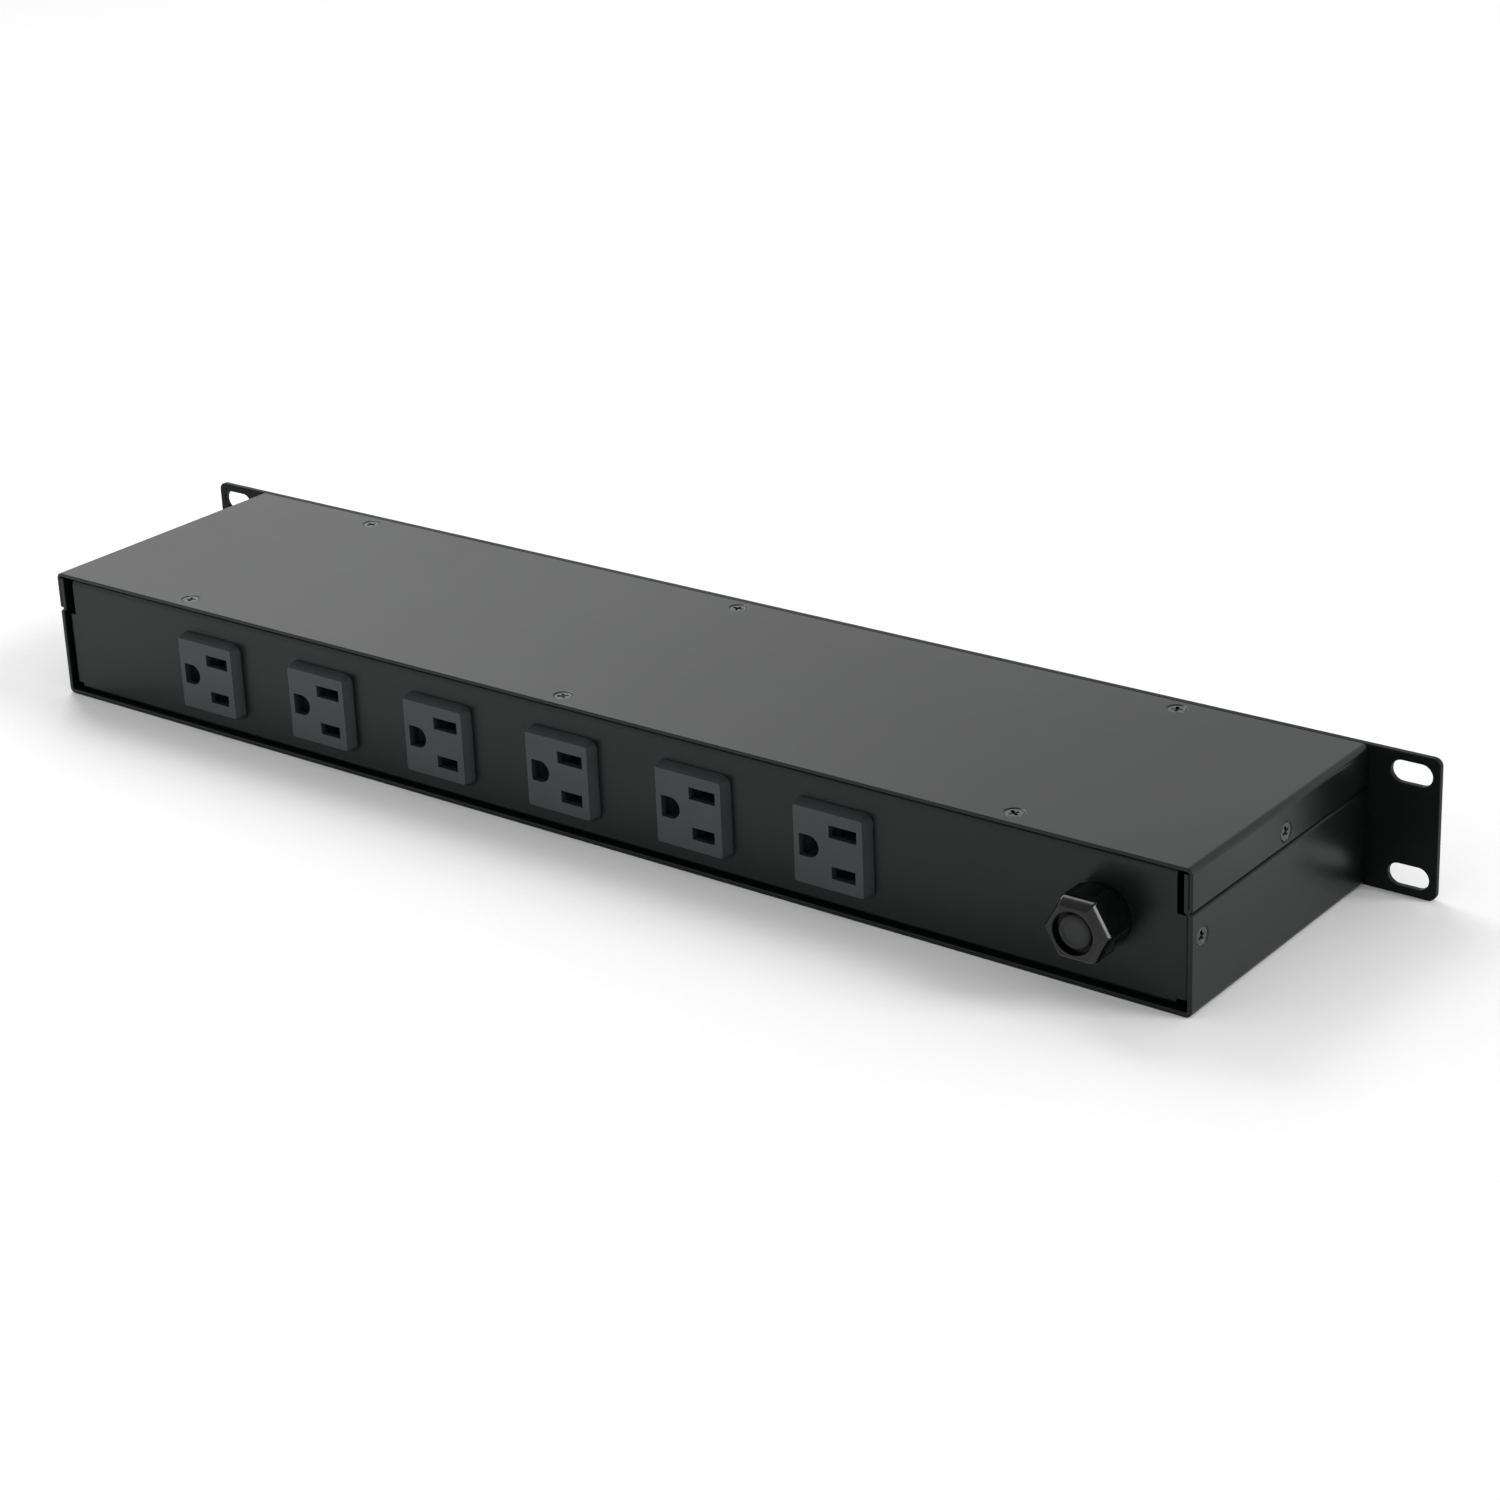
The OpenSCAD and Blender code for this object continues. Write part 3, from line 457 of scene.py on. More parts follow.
def complete(piece, material, nodes, body="chassis", smooth=32):
    """Shade and finish a piece, and let it stand for its CAD nodes on their body."""
    only(piece)
    bpy.ops.object.shade_smooth_by_angle(angle=math.radians(smooth))
    # Broad faces set the normals at their edges, so they stay flat
    weighted = piece.modifiers.new("weighted", "WEIGHTED_NORMAL")
    weighted.keep_sharp = True
    bpy.ops.object.modifier_apply(modifier=weighted.name)
    piece.data.materials.clear()
    piece.data.materials.append(material)
    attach(piece, body)
    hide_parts(*nodes)
    return piece


# ---------- materials ----------


def add_node(tree, kind, values=None, links=None, **settings):
    """Add a shader node, set it up, fill its sockets and link its inputs."""
    made = tree.nodes.new(kind)
    for key, value in settings.items():
        setattr(made, key, value)
    for key, value in (values or {}).items():
        made.inputs[key].default_value = value
    for key, source in (links or {}).items():
        tree.links.new(source, made.inputs[key])
    return made


def new_material(name):
    """An empty node material, the object coordinates of its piece, and its shader."""
    material = bpy.data.materials.new(name)
    material.use_nodes = True
    tree = material.node_tree
    tree.nodes.clear()
    place = add_node(tree, "ShaderNodeTexCoord").outputs["Object"]
    shader = add_node(tree, "ShaderNodeBsdfPrincipled")
    output = add_node(tree, "ShaderNodeOutputMaterial")
    tree.links.new(shader.outputs["BSDF"], output.inputs["Surface"])
    return material, tree, place, shader


def noise(tree, place, size_mm, detail=2.0, roughness=0.5):
    """Noise whose lumps are about size_mm across."""
    return add_node(
        tree, "ShaderNodeTexNoise", {"Scale": 1 / (size_mm * MM), "Detail": detail,
                                     "Roughness": roughness}, {"Vector": place},
    ).outputs["Fac"]


def spread(tree, source, low, high, start=0.3, end=0.7):
    """The source, stretched to run from low to high."""
    return add_node(
        tree, "ShaderNodeMapRange",
        {"From Min": start, "From Max": end, "To Min": low, "To Max": high}, {"Value": source},
    ).outputs["Result"]


def tint(tree, base, lighter, amount):
    """The base colour, mixed towards another one by an amount from a texture."""
    return add_node(
        tree, "ShaderNodeMix", {6: (*base, 1), 7: (*lighter, 1)}, {"Factor": amount},
        data_type="RGBA",
    ).outputs[2]


def bump(tree, height, distance_mm, strength=1.0, under=None):
    """A normal from a height, on top of another one if given."""
    links = {"Height": height}
    if under is not None:
        links["Normal"] = under
    return add_node(
        tree, "ShaderNodeBump", {"Distance": distance_mm * MM, "Strength": strength}, links
    ).outputs["Normal"]


def shade(tree, shader, **sockets):
    """Set or link the shader's sockets, with underscores for the spaces in their names."""
    for key, value in sockets.items():
        socket = shader.inputs[key.replace("_", " ")]
        if isinstance(value, bpy.types.NodeSocket):
            tree.links.new(value, socket)
        else:
            socket.default_value = value


def powder_coat(name, base, gloss, low, high):
    """Black polyester powder coat, sprayed and baked: a soft even sheen over a fine orange
    peel, with faint cloudy patches where it was handled."""
    material, tree, place, shader = new_material(name)
    clouds = noise(tree, place, 46, 3, 0.55)
    # Real orange peel is about 0.6 mm across, and is drawn at 1.1 mm so that it shows
    peel = noise(tree, place, 1.1, 1)
    grit = noise(tree, place, 0.35, 1)
    lighter = [c * 1.5 for c in base]
    coat = bump(tree, peel, 0.012, 0.8, bump(tree, grit, 0.004, 0.6))
    shade(
        tree, shader,
        Base_Color=tint(tree, base, lighter, spread(tree, clouds, 0, 1)),
        Roughness=spread(tree, noise(tree, place, 70, 4, 0.6), low, high),
        IOR=1.5, Specular_IOR_Level=gloss, Specular_Tint=(0.97, 1, 0.975, 1), Normal=coat,
    )
    return material


def black_oxide(base):
    """Carbon steel with black oxide: a dark metal with small bright glints on its corners."""
    material, tree, place, shader = new_material("black_oxide_steel")
    grain = noise(tree, place, 0.5, 3)
    shade(
        tree, shader,
        Base_Color=tint(tree, base, [c * 2.2 for c in base], spread(tree, grain, 0, 1)),
        Metallic=0.85, Roughness=spread(tree, grain, 0.16, 0.28),
        Normal=bump(tree, noise(tree, place, 0.25, 1), 0.006, 0.5),
    )
    return material


def outlet_plastic(base):
    """Matt moulded PBT with a fine spark-eroded mould texture: even, dark and slightly blue."""
    material, tree, place, shader = new_material("pbt_outlet_matt")
    # The mould texture's 0.12 mm grain is drawn at 0.3 mm so that it shows
    grain = noise(tree, place, 0.3, 2)
    flow = noise(tree, place, 9, 2)
    shade(
        tree, shader,
        Base_Color=tint(tree, base, [c * 1.18 for c in base], spread(tree, flow, 0, 1)),
        Roughness=spread(tree, grain, 0.36, 0.44), IOR=1.57, Specular_IOR_Level=0.36,
        Normal=bump(tree, grain, 0.008, 0.5),
    )
    return material


def gloss_nylon(base):
    """Polished black nylon 66 from a bright mould: deep black with sharp reflections and a
    faint ripple."""
    material, tree, place, shader = new_material("nylon_66_gloss")
    ripple = noise(tree, place, 3, 1)
    shade(
        tree, shader,
        Base_Color=tint(tree, base, [c * 1.5 for c in base], spread(tree, ripple, 0, 1)),
        Roughness=spread(tree, noise(tree, place, 1.2, 2), 0.07, 0.13), IOR=1.53,
        Specular_IOR_Level=0.32,
        Normal=bump(tree, ripple, 0.02, 0.4),
    )
    return material


def matt_rubber(base):
    """Moulded neoprene rubber: dark grey and dull, with a soft dusty grain."""
    material, tree, place, shader = new_material("neoprene_matt")
    grain = noise(tree, place, 0.4, 3)
    shade(
        tree, shader,
        Base_Color=tint(tree, base, [c * 1.5 for c in base], spread(tree, grain, 0, 1)),
        Roughness=spread(tree, grain, 0.6, 0.8), IOR=1.5,
        Normal=bump(tree, grain, 0.02, 0.6),
    )
    return material


def switch_plastic(base):
    """Half-gloss black polycarbonate, moulded for the switch and breaker housings."""
    material, tree, place, shader = new_material("polycarbonate_black")
    flow = noise(tree, place, 4, 2)
    shade(
        tree, shader,
        Base_Color=tint(tree, base, [c * 1.4 for c in base], spread(tree, flow, 0, 1)),
        Roughness=spread(tree, noise(tree, place, 0.6, 2), 0.24, 0.34), IOR=1.58,
        Normal=bump(tree, noise(tree, place, 0.5, 1), 0.004, 0.5),
    )
    return material


def red_polycarbonate(base):
    """Clear red polycarbonate for the lit rocker: glossy, with colour that goes deep."""
    material, tree, place, shader = new_material("polycarbonate_red_clear")
    flow = noise(tree, place, 5, 2)
    shade(
        tree, shader,
        Base_Color=tint(tree, base, [min(1, c * 1.4 + 0.01) for c in base],
                        spread(tree, flow, 0, 1)),
        Roughness=spread(tree, flow, 0.1, 0.16), IOR=1.58,
        Transmission_Weight=0.35,
        Normal=bump(tree, noise(tree, place, 1.5, 1), 0.01, 0.3),
    )
    return material


def button_plastic(base):
    """Off-white urea moulding for the reset button: smooth, with a soft gloss."""
    material, tree, place, shader = new_material("urea_white")
    flow = noise(tree, place, 2, 2)
    shade(
        tree, shader,
        Base_Color=tint(tree, base, [c * 0.9 for c in base], spread(tree, flow, 0, 1)),
        Roughness=spread(tree, flow, 0.3, 0.4), IOR=1.55,
        Normal=bump(tree, noise(tree, place, 0.4, 1), 0.004, 0.4),
    )
    return material


def plated_metal(name, base, low, high):
    """Plated or bare sheet metal, drawn and tumbled: metallic, with a fine cloudy grain."""
    material, tree, place, shader = new_material(name)
    grain = noise(tree, place, 0.8, 4, 0.6)
    shade(
        tree, shader,
        Base_Color=tint(tree, base, [c * 0.75 for c in base], spread(tree, grain, 0, 1)),
        Metallic=1.0, Roughness=spread(tree, grain, low, high),
        Normal=bump(tree, noise(tree, place, 0.3, 2), 0.006, 0.5),
    )
    return material


def moulded_plastic(name, base, low, high):
    """Plain moulded plastic, such as PVC insulation or a nylon block, with a light grain."""
    material, tree, place, shader = new_material(name)
    grain = noise(tree, place, 0.7, 2)
    shade(
        tree, shader,
        Base_Color=tint(tree, base, [min(1, c * 1.2) for c in base], spread(tree, grain, 0, 1)),
        Roughness=spread(tree, grain, low, high), IOR=1.53,
        Normal=bump(tree, grain, 0.008, 0.5),
    )
    return material


def neon_glass():
    """Clear soda glass of the neon lamp with its warm gas colour."""
    material, tree, place, shader = new_material("soda_glass_neon")
    flow = noise(tree, place, 1.5, 1)
    warm = linear("#f0a860")
    shade(
        tree, shader,
        Base_Color=tint(tree, warm, [c * 0.85 for c in warm], spread(tree, flow, 0, 1)),
        Roughness=spread(tree, flow, 0.03, 0.08), IOR=1.5, Transmission_Weight=0.7,
    )
    return material


def stage_paper(base):
    """Matt studio paper for the floor."""
    material, tree, place, shader = new_material("studio_paper")
    fibre = noise(tree, place, 3, 2)
    shade(
        tree, shader,
        Base_Color=tint(tree, base, [c * 0.985 for c in base], spread(tree, fibre, 0, 1)),
        Roughness=0.95, Specular_IOR_Level=0.0,
    )
    return material


# ---------- pieces ----------


class STRIP_OT_stage(bpy.types.Operator):
    """Add the camera, the floor and the soft studio lights"""

    bl_idname = "strip.stage"
    bl_label = "Stage"

    def execute(self, context):
        s = context.scene.power_strip.stage
        self.add_camera(context, s)
        self.add_floor(s)
        self.add_lights(context, s)
        return {"FINISHED"}

    def add_camera(self, context, s):
        """A camera behind and above the strip, at its gland end."""
        back = Vector((
            math.sin(s.azimuth) * math.cos(s.elevation),
            -math.cos(s.azimuth) * math.cos(s.elevation),
            math.sin(s.elevation),
        ))
        data = bpy.data.cameras.new("camera")
        data.lens = s.lens
        data.shift_x, data.shift_y = s.shift
        camera = bpy.data.objects.new("camera", data)
        context.scene.collection.objects.link(camera)
        rear = Vector((0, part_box("rear_panel")[1].y, 0))
        camera.location = rear + s.aim + back * s.distance
        camera.rotation_mode = "QUATERNION"
        turn = Quaternion((0, 0, 1), -s.roll)
        camera.rotation_quaternion = (-back).to_track_quat("-Z", "Y") @ turn
        context.scene.camera = camera

    def add_floor(self, s):
        bpy.ops.mesh.primitive_plane_add(size=s.floor_size, location=(0, 0, CAD_LOW.z))
        floor = bpy.context.object
        floor.name = "floor"
        floor.data.materials.append(stage_paper(s.floor))

    def add_lights(self, context, s):
        world = bpy.data.worlds.new("studio")
        world.use_nodes = True
        tree = world.node_tree
        # A white tent, dimmer overhead and brightest on the camera's far left
        direction = add_node(tree, "ShaderNodeTexCoord").outputs["Generated"]
        axes = add_node(tree, "ShaderNodeSeparateXYZ", None, {0: direction}).outputs
        left = spread(tree, axes["X"], s.tent, s.tent_left, start=0.4, end=0.75)
        above = spread(tree, axes["Z"], 1.0, s.overhead, start=0.5, end=0.85)
        glow = add_node(tree, "ShaderNodeMath", None, {0: left, 1: above},
                        operation="MULTIPLY").outputs["Value"]
        tree.links.new(glow, tree.nodes["Background"].inputs["Strength"])
        tree.nodes["Background"].inputs["Color"].default_value = (1, 1, 1, 1)
        context.scene.world = world
        context.scene.view_settings.view_transform = "Standard"
        # Two broad distant lamps, which light the floor evenly
        for name in ("key", "side"):
            data = bpy.data.lights.new(name, "SUN")
            data.angle = s.softness
            data.energy = getattr(s, name)
            self.hang(context, data, Vector(getattr(s, f"{name}_from")))
        # A small near lamp, for the streaks on the gland and the sheet edges
        data = bpy.data.lights.new("streak", "AREA")
        data.size = s.streak_size
        data.energy = s.streak
        self.hang(context, data, Vector(s.streak_at))

    def hang(self, context, data, location):
        """Hang a lamp at a place, turned to face the strip."""
        lamp = bpy.data.objects.new(data.name, data)
        lamp.location = location
        lamp.rotation_mode = "QUATERNION"
        lamp.rotation_quaternion = (-location).to_track_quat("-Z", "Y")
        context.scene.collection.objects.link(lamp)


class STRIP_OT_sheet_metal(bpy.types.Operator):
    """Model the tray, cover, rear panel and front panel with coated, rounded edges"""

    bl_idname = "strip.sheet_metal"
    bl_label = "Sheet metal"

    def execute(self, context):
        s = context.scene.power_strip.sheet
        satin = powder_coat("powder_coat_satin", s.coat, gloss=0.28, low=0.27, high=0.34)
        matt = powder_coat("powder_coat_matt", s.coat, gloss=0.12, low=0.42, high=0.5)
        for node in ("tray", "top_cover", "rear_panel", "front_panel"):
            piece = cad_copy(node, f"{node}_sheet")
            soften(piece, s.edge, s.edge_steps)
            complete(piece, matt if node == "front_panel" else satin, [node])
        return {"FINISHED"}


class STRIP_OT_screws(bpy.types.Operator):
    """Model the countersunk cross-head screws of the cover and the rear panel"""

    bl_idname = "strip.screws"
    bl_label = "Screws"

    def execute(self, context):
        s = context.scene.power_strip.screw
        finish = black_oxide(s.finish)
        # The rows of screws share one head size with the single side screws
        low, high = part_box("cover_side_screws")
        radius = (high.z - low.z) / 2
        screw = self.model_screw(s, radius)
        for node in ("cover_top_screws", "cover_side_screws", "rear_panel_screws"):
            low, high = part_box(node)
            centre = (low + high) / 2
            if node == "cover_top_screws":
                spots = [
                    (Vector((x, y, high.z)), Vector((0, 0, 1)))
                    for x in (low.x + radius, centre.x, high.x - radius)
                    for y in (low.y + radius, high.y - radius)
                ]
            else:
                spots = [
                    (Vector((x, centre.y, centre.z)), Vector((side, 0, 0)))
                    for x, side in ((low.x, -1), (high.x, 1))
                ]
            group = []
            for i, (spot, out) in enumerate(spots):
                turn = s.first_turn + s.next_turn * i
                group.append(self.drive(screw, f"{node}_{i}", spot - out * s.sunk, out, turn))
            piece = join(group[0], *group[1:])
            piece.name = f"{node}_cross_head"
            complete(piece, finish, [node], smooth=28)
        bpy.data.objects.remove(screw, do_unlink=True)
        return {"FINISHED"}

    def model_screw(self, s, radius):
        """A screw along Y with its head's top at the origin, facing +Y."""
        rim = radius - s.gap
        # A thin disc at the top, drawn down into the cone and the shank
        disc = 0.1 * MM
        screw = add_rod("screw", 0, 0, rim, -disc, 0, 48)
        extrude_end(screw, -1, s.head_height - disc)
        scale_end(screw, -1, s.shank / rim, 0, 0)
        extrude_end(screw, -1, s.shank_length)
        inset_end(screw, 1, 0.35 * MM)
        cut(screw, self.model_cross(s))
        round_edges(screw, at_y(0), s.edge, 3)
        return screw

    def model_cross(self, s):
        """What the cross recess takes away: two tapered wings and a deeper pointed core."""
        half, thick, top = s.cross_length / 2, s.cross_width / 2, 0.2 * MM
        wing = add_block("wing", (-half, -s.cross_depth, -thick), (half, top, thick))
        other = add_block("other", (-thick, -s.cross_depth, -half), (thick, top, half))
        core = add_rod("core", 0, 0, 0.85 * s.cross_width, -1.1 * s.cross_depth, top, 24)
        for part, share in ((wing, 0.55), (other, 0.55), (core, 0.4)):
            scale_end(part, -1, share, 0, 0)
        combine(wing, other, "UNION")
        combine(wing, core, "UNION")
        return wing

    def drive(self, screw, name, spot, out, turn):
        """A copy of the screw at its spot, facing outwards and driven to its own angle."""
        twin = copy_of(screw, name, (0, 0, 0))
        twin.rotation_mode = "QUATERNION"
        facing = Vector((0, 1, 0)).rotation_difference(out)
        twin.rotation_quaternion = facing @ Quaternion((0, 1, 0), turn)
        twin.location = spot
        settle(twin)
        twin.rotation_mode = "XYZ"
        return twin


class STRIP_OT_outlets(bpy.types.Operator):
    """Model one moulded outlet, and copy it to all six places"""

    bl_idname = "strip.outlets"
    bl_label = "Outlets"

    def execute(self, context):
        s = context.scene.power_strip.outlet
        plastic = outlet_plastic(s.plastic)
        first = self.model_outlet(s)
        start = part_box("outlet_1_housing")[0]
        for i in range(1, OUTLETS + 1):
            node = f"outlet_{i}_housing"
            twin = copy_of(first, f"outlet_{i}_moulding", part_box(node)[0] - start)
            complete(twin, plastic, [node], smooth=28)
        bpy.data.objects.remove(first, do_unlink=True)
        return {"FINISHED"}

    def model_outlet(self, s):
        """The outlet at the first place, from its bevelled bezel to the body behind."""
        low, high, x, z = span("outlet_1_housing")
        panel_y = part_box("rear_panel")[1].y
        base_y = panel_y + s.rim
        outlet = add_block("outlet", (low.x, panel_y, low.z), (high.x, base_y, high.z))
        round_edges(outlet, along_y, s.base_corner, 8)
        face = add_block(
            "face", (low.x + s.bevel, high.y - 0.3 * MM, low.z + s.bevel),
            (high.x - s.bevel, high.y, high.z - s.bevel),
        )
        round_edges(face, along_y, s.face_corner, 8)
        # The two outlines are bridged, which makes the slope between them
        pick_end(face, -1)
        bpy.ops.mesh.delete(type="ONLY_FACE")
        pick_end(outlet, 1)
        bpy.ops.mesh.delete(type="ONLY_FACE")
        join(outlet, face)
        bpy.ops.object.mode_set(mode="EDIT")
        bpy.ops.mesh.select_mode(type="EDGE")
        bpy.ops.mesh.select_all(action="DESELECT")
        bpy.ops.mesh.select_non_manifold()
        bpy.ops.mesh.bridge_edge_loops()
        bpy.ops.mesh.select_all(action="SELECT")
        bpy.ops.mesh.normals_make_consistent(inside=False)
        bpy.ops.object.mode_set(mode="OBJECT")
        round_edges(outlet, at_y(high.y), s.face_edge, 3)
        # The body behind the panel
        inset_end(outlet, -1, s.body_step)
        extrude_end(outlet, -1, panel_y - low.y)
        # Each slot goes through the face and widens behind it
        front, inside, back = high.y + MM, high.y - s.face_thickness, low.y - MM
        bx = x - s.blade_side
        for side, width in ((1, s.neutral_width), (-1, s.line_width)):
            bz = z + side * s.blade_span / 2
            cut(
                outlet,
                add_block("slot", (bx - width / 2, inside - MM, bz - s.slot_height / 2),
                          (bx + width / 2, front, bz + s.slot_height / 2)),
                add_block("cavity", (bx - s.cavity_width / 2, back, bz - s.cavity_height / 2),
                          (bx + s.cavity_width / 2, inside, bz + s.cavity_height / 2)),
            )
        gx = x + s.ground_side
        hole = add_rod("ground", gx, z, s.ground_radius, inside - MM, front, 48)
        flat = add_block("flat", (gx, inside - MM, z - s.ground_radius),
                         (gx + s.ground_radius, front, z + s.ground_radius))
        combine(hole, flat, "UNION")
        cut(
            outlet, hole,
            add_block("well", (gx - s.well_round, back, z - s.well_height / 2),
                      (gx + s.well_flat, inside, z + s.well_height / 2)),
        )
        reach = (high.x - low.x) / 2 - s.bevel - s.face_corner

        def on_slot_rim(a, b):
            near = all(abs(p.x - x) < reach and abs(p.z - z) < reach for p in (a, b))
            return near and at_y(high.y)(a, b)

        round_edges(outlet, on_slot_rim, s.slot_edge, 2)
        return outlet


class STRIP_OT_gland(bpy.types.Operator):
    """Model the cable gland's nut, body, plug and gasket"""

    bl_idname = "strip.gland"
    bl_label = "Cable gland"

    def execute(self, context):
        s = context.scene.power_strip.gland
        nylon = gloss_nylon(s.nylon)
        rubber = matt_rubber(s.rubber)
        complete(self.model_nut(s), nylon, ["gland_nut"])
        complete(self.model_body(s), nylon, ["gland_body"])
        complete(self.model_plug(s), rubber, ["gland_plug"])
        gasket = cad_copy("gland_gasket", "gland_gasket_ring")
        soften(gasket, s.gasket_edge, 3)
        complete(gasket, rubber, ["gland_gasket"])
        return {"FINISHED"}

    def model_nut(self, s):
        """The nut, with flats that curve in towards its mouth."""
        low, high, x, z = span("gland_nut")
        half = (high.z - low.z) / 2
        nut = add_rod("gland_dome_nut", x, z, 2 * half / math.sqrt(3), low.y,
                      high.y - s.curve, 6, math.radians(30))
        round_edges(nut, along_y, s.ridge, 4)
        round_edges(nut, at_y(low.y), s.back_edge, 2)
        # The front end goes forward in short steps that follow an arc inwards
        arc = (s.curve ** 2 + s.curve_in ** 2) / (2 * s.curve_in)
        reached = 0.0
        for i in range(1, s.curve_steps + 1):
            way = s.curve * i / s.curve_steps
            drawn_in = arc - math.sqrt(arc ** 2 - way ** 2)
            extrude_end(nut, 1, s.curve / s.curve_steps)
            scale_end(nut, 1, (half - drawn_in) / (half - reached), x, z)
            reached = drawn_in
        round_edges(nut, at_y(high.y), s.front_edge, 3)
        # The bore takes the body, and the mouth goes through to the front
        bore_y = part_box("gland_body")[1].y + MM
        cut(
            nut,
            add_rod("mouth", x, z, s.mouth, low.y - MM, high.y + MM),
            add_rod("bore", x, z, s.nut_bore, low.y - MM, bore_y),
        )

        def on_mouth(a, b):
            near = all(math.hypot(p.x - x, p.z - z) < s.mouth + 0.05 * MM for p in (a, b))
            return near and at_y(high.y)(a, b)

        round_edges(nut, on_mouth, s.mouth_edge, 3)
        return nut

    def model_body(self, s):
        """The body, with a serrated collar between its thread and its neck."""
        low, high, x, z = span("gland_body")
        radius = (high.z - low.z) / 2
        collar_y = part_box("gland_gasket")[1].y
        body = add_rod("gland_collar_body", x, z, radius, collar_y, collar_y + s.collar,
                       2 * s.teeth)
        step = math.pi / s.teeth

        def on_gap(f):
            turn = math.atan2(f.center.z - z, f.center.x - x) / step
            return abs(f.normal.y) < 0.1 and round(turn - 0.5) % 2 == 0

        pick(body, "FACE", on_gap)
        bpy.ops.mesh.inset(thickness=0.06 * MM, depth=-s.tooth_depth, use_individual=True)
        bpy.ops.object.mode_set(mode="OBJECT")
        inset_end(body, 1, radius - s.neck)
        extrude_end(body, 1, high.y - collar_y - s.collar)
        inset_end(body, -1, radius - s.thread)
        extrude_end(body, -1, collar_y - low.y)
        cut(body, add_rod("bore", x, z, s.body_bore, low.y - MM, high.y + MM, 48))
        return body

    def model_plug(self, s):
        """The blanking plug that fills the nut's mouth."""
        low, high, x, z = span("gland_plug")
        radius = (high.z - low.z) / 2
        plug = add_rod("gland_blanking_plug", x, z, radius, low.y, high.y)
        round_edges(plug, at_y(high.y), s.plug_edge, 6)
        # Fine turned rings on the end
        for _ in range(s.plug_rings):
            inset_end(plug, 1, s.plug_land)
            inset_end(plug, 1, s.plug_step, s.plug_step)
        return plug


class STRIP_OT_switch(bpy.types.Operator):
    """Model the switch housing, and its lit rocker with on and off marks"""

    bl_idname = "strip.switch"
    bl_label = "Power switch"

    def execute(self, context):
        s = context.scene.power_strip.switch
        housing = cad_copy("switch_housing", "switch_bezel")
        soften(housing, s.housing_edge, 3)
        complete(housing, switch_plastic(s.housing), ["switch_housing"])
        rocker = cad_copy("switch_rocker", "switch_rocker_key")
        soften(rocker, s.rocker_edge, 4, sharp=12)
        marks = self.model_marks(s, rocker)
        complete(rocker, red_polycarbonate(s.rocker), ["switch_rocker"],
                 body="rocker")
        complete(marks, button_plastic(s.mark), [], body="rocker")
        return {"FINISHED"}

    def model_marks(self, s, rocker):
        """The usual bar for on and ring for off, printed on the rocker's two faces."""
        faces = sorted((f for f in rocker.data.polygons if f.normal.y < -0.9),
                       key=lambda f: f.area)[-2:]
        out, deep = -s.mark_height, 2 * s.mark_height
        ring = add_rod("rocker_marks", 0, 0, s.mark_radius, out, deep, 32)
        cut(ring, add_rod("inside", 0, 0, s.mark_radius - s.mark_line, -MM, MM, 32))
        bar = add_block("bar", (-s.mark_line / 2, out, -s.mark_radius),
                        (s.mark_line / 2, deep, s.mark_radius))
        for mark, face in zip((bar, ring), sorted(faces, key=lambda f: f.center.z)):
            corners = [rocker.data.vertices[i].co for i in face.vertices]
            mark.rotation_mode = "QUATERNION"
            mark.rotation_quaternion = Vector((0, -1, 0)).rotation_difference(face.normal)
            mark.location = [
                (min(c[k] for c in corners) + max(c[k] for c in corners)) / 2 for k in range(3)
            ]
            settle(mark)
            mark.rotation_mode = "XYZ"
        return join(ring, bar)


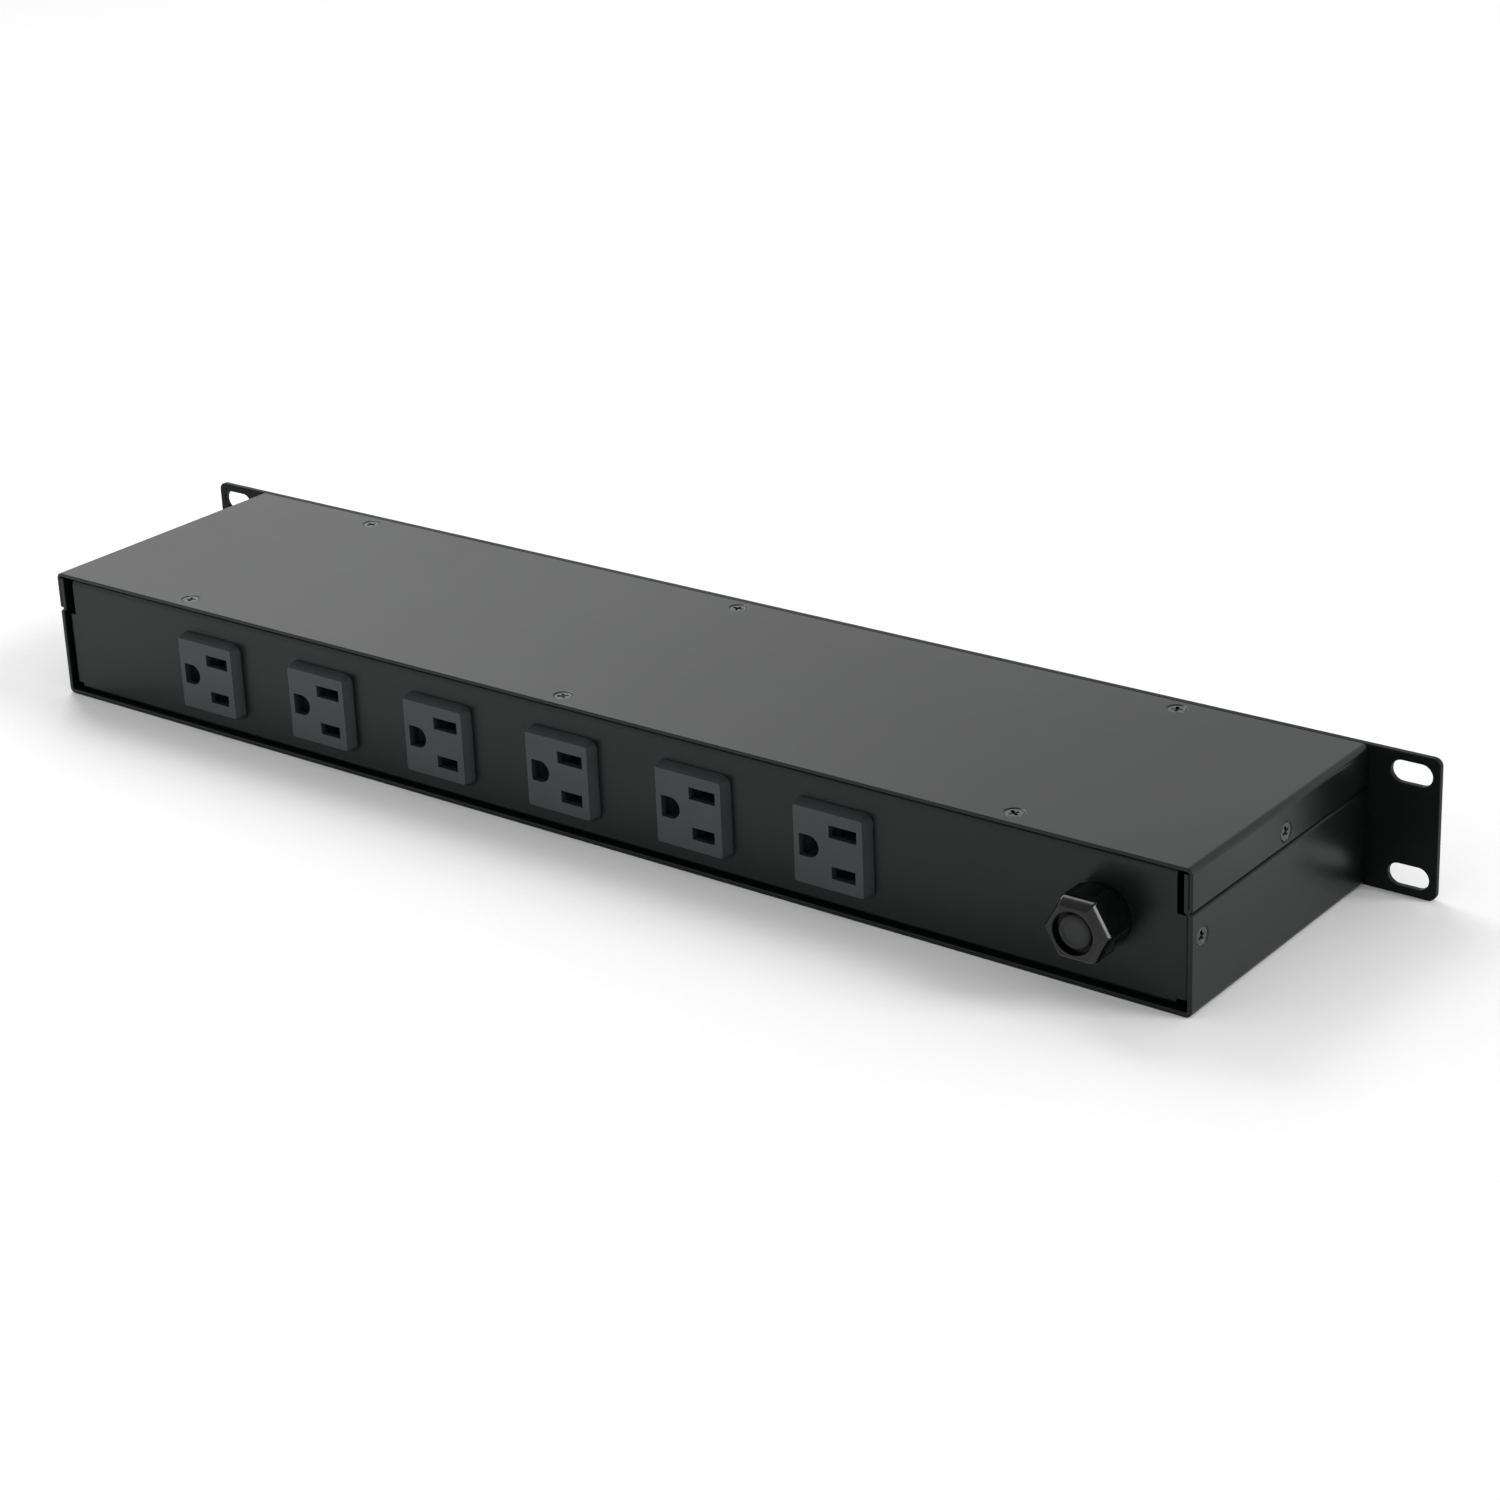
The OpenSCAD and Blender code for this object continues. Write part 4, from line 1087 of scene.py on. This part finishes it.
class STRIP_OT_breaker(bpy.types.Operator):
    """Model the breaker's threaded neck, panel nut and reset button"""

    bl_idname = "strip.breaker"
    bl_label = "Breaker"

    def execute(self, context):
        s = context.scene.power_strip.breaker
        plated = plated_metal("nickel_plated_brass", linear("#c9c8c2"), 0.18, 0.32)
        complete(self.model_nut(s), plated, ["breaker_panel_nut"])
        complete(self.model_thread(s), plated, [])
        button = self.model_button(s)
        complete(button, bpy.data.materials["urea_white"],
                 ["breaker_button"], body="reset_button")
        return {"FINISHED"}

    def model_thread(self, s):
        """A metal sleeve with thread ridges round the neck, in front of the nut."""
        low, high, x, z = span("breaker_panel_nut")
        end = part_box("breaker_body")[0].y
        # The sleeve's plain end lies inside the nut
        start = low.y - 0.1 * MM
        sleeve = add_rod("breaker_neck_thread", x, z, s.thread_root, start, low.y + 0.5 * MM, 48)
        rise = s.thread_crest / s.thread_root
        for _ in range(int((start - end) / s.thread_pitch)):
            extrude_end(sleeve, -1, s.thread_pitch / 2)
            scale_end(sleeve, -1, rise, x, z)
            extrude_end(sleeve, -1, s.thread_pitch / 2)
            scale_end(sleeve, -1, 1 / rise, x, z)
        cut(sleeve, add_rod("bore", x, z, s.thread_bore, end - MM, high.y + MM, 48))
        return sleeve

    def model_nut(self, s):
        low, high, x, z = span("breaker_panel_nut")
        half = (high.z - low.z) / 2
        nut = add_rod("breaker_hex_nut", x, z, 2 * half / math.sqrt(3), low.y, high.y, 6,
                      math.radians(30))
        round_edges(nut, along_y, s.nut_edge, 4)
        round_edges(nut, at_y(low.y), s.nut_edge, 4)
        cut(nut, add_rod("bore", x, z, s.nut_bore, low.y - MM, high.y + MM, 48))
        return nut

    def model_button(self, s):
        """The button with a shallow dish in its end, and the flange that keeps it in."""
        low, high, x, z = span("breaker_button")
        button = add_rod("breaker_reset_button", x, z, s.button, low.y, high.y, 48)
        round_edges(button, at_y(low.y), s.button_edge, 5)
        inset_end(button, -1, s.dish_rim)
        inset_end(button, -1, s.dish_slope, s.dish_depth)
        inner = high.y - s.flange_inset
        flange = add_rod("flange", x, z, (high.z - low.z) / 2, inner - s.flange, inner, 48)
        combine(button, flange, "UNION")
        return button


class STRIP_OT_inner_finishes(bpy.types.Operator):
    """Give every CAD node that is still shown its own finish"""

    bl_idname = "strip.inner_finishes"
    bl_label = "Inner finishes"

    def execute(self, context):
        finishes = {
            "painted_steel": bpy.data.materials["powder_coat_satin"],
            "black_screws": bpy.data.materials["black_oxide_steel"],
            "outlet_plastic": bpy.data.materials["pbt_outlet_matt"],
            "gland_nylon": bpy.data.materials["nylon_66_gloss"],
            "gland_rubber": bpy.data.materials["neoprene_matt"],
            "switch_plastic": bpy.data.materials["polycarbonate_black"],
            "red_rocker": bpy.data.materials["polycarbonate_red_clear"],
            "button_plastic": bpy.data.materials["urea_white"],
            "zinc_steel": plated_metal("zinc_plated_steel", linear("#b8bbbf"), 0.3, 0.45),
            # Brass contacts, their colour darkened from brass to a deep brown as painted shade for their
            # place deep in the outlets' cavities
            "brass": plated_metal("spring_brass_painted_shade", linear("#4a382a"), 0.35, 0.5),
            "back_plastic": moulded_plastic("pbt_back_cap", linear("#3a3c3e"), 0.5, 0.6),
            "black_wire": moulded_plastic("pvc_black", linear("#121212"), 0.35, 0.5),
            "white_wire": moulded_plastic("pvc_white", linear("#dcdad4"), 0.35, 0.5),
            "green_wire": moulded_plastic("pvc_green", linear("#1f7a3a"), 0.35, 0.5),
            "block_plastic": moulded_plastic("nylon_terminal_block", linear("#d9d6cc"), 0.4, 0.5),
            "breaker_plastic": moulded_plastic("phenolic_black", linear("#161617"), 0.35, 0.45),
            "lamp_glass": neon_glass(),
        }
        slots = {p["node"]: p["material_slot"] for p in frame["record"]["subparts"]}
        for name, node in frame["nodes"].items():
            node.data.materials.clear()
            node.data.materials.append(finishes[slots[name]])
        return {"FINISHED"}


class STRIP_PT_panel(bpy.types.Panel):
    """Sidebar panel with each piece's operator and settings"""

    bl_idname = "STRIP_PT_panel"
    bl_label = "Rack Power Strip"
    bl_space_type = "VIEW_3D"
    bl_region_type = "UI"
    bl_category = "Power Strip"

    def draw(self, context):
        strip = context.scene.power_strip
        rows = (
            (STRIP_OT_stage, strip.stage),
            (STRIP_OT_sheet_metal, strip.sheet),
            (STRIP_OT_screws, strip.screw),
            (STRIP_OT_outlets, strip.outlet),
            (STRIP_OT_gland, strip.gland),
            (STRIP_OT_switch, strip.switch),
            (STRIP_OT_breaker, strip.breaker),
            (STRIP_OT_inner_finishes, None),
        )
        for operator, settings in rows:
            box = self.layout.box()
            box.operator(operator.bl_idname)
            for name in settings.__annotations__ if settings else ():
                box.prop(settings, name)


CLASSES = (
    StageSettings,
    SheetSettings,
    ScrewSettings,
    OutletSettings,
    GlandSettings,
    SwitchSettings,
    BreakerSettings,
    StripSettings,
    STRIP_OT_stage,
    STRIP_OT_sheet_metal,
    STRIP_OT_screws,
    STRIP_OT_outlets,
    STRIP_OT_gland,
    STRIP_OT_switch,
    STRIP_OT_breaker,
    STRIP_OT_inner_finishes,
    STRIP_PT_panel,
)


def register():
    for cls in CLASSES:
        bpy.utils.register_class(cls)
    bpy.types.Scene.power_strip = PointerProperty(type=StripSettings)


def unregister():
    del bpy.types.Scene.power_strip
    for cls in reversed(CLASSES):
        bpy.utils.unregister_class(cls)


def main():
    register()
    bpy.ops.strip.stage()
    bpy.ops.strip.sheet_metal()
    bpy.ops.strip.screws()
    bpy.ops.strip.outlets()
    bpy.ops.strip.gland()
    bpy.ops.strip.switch()
    bpy.ops.strip.breaker()
    bpy.ops.strip.inner_finishes()


if __name__ == "__main__":
    main()
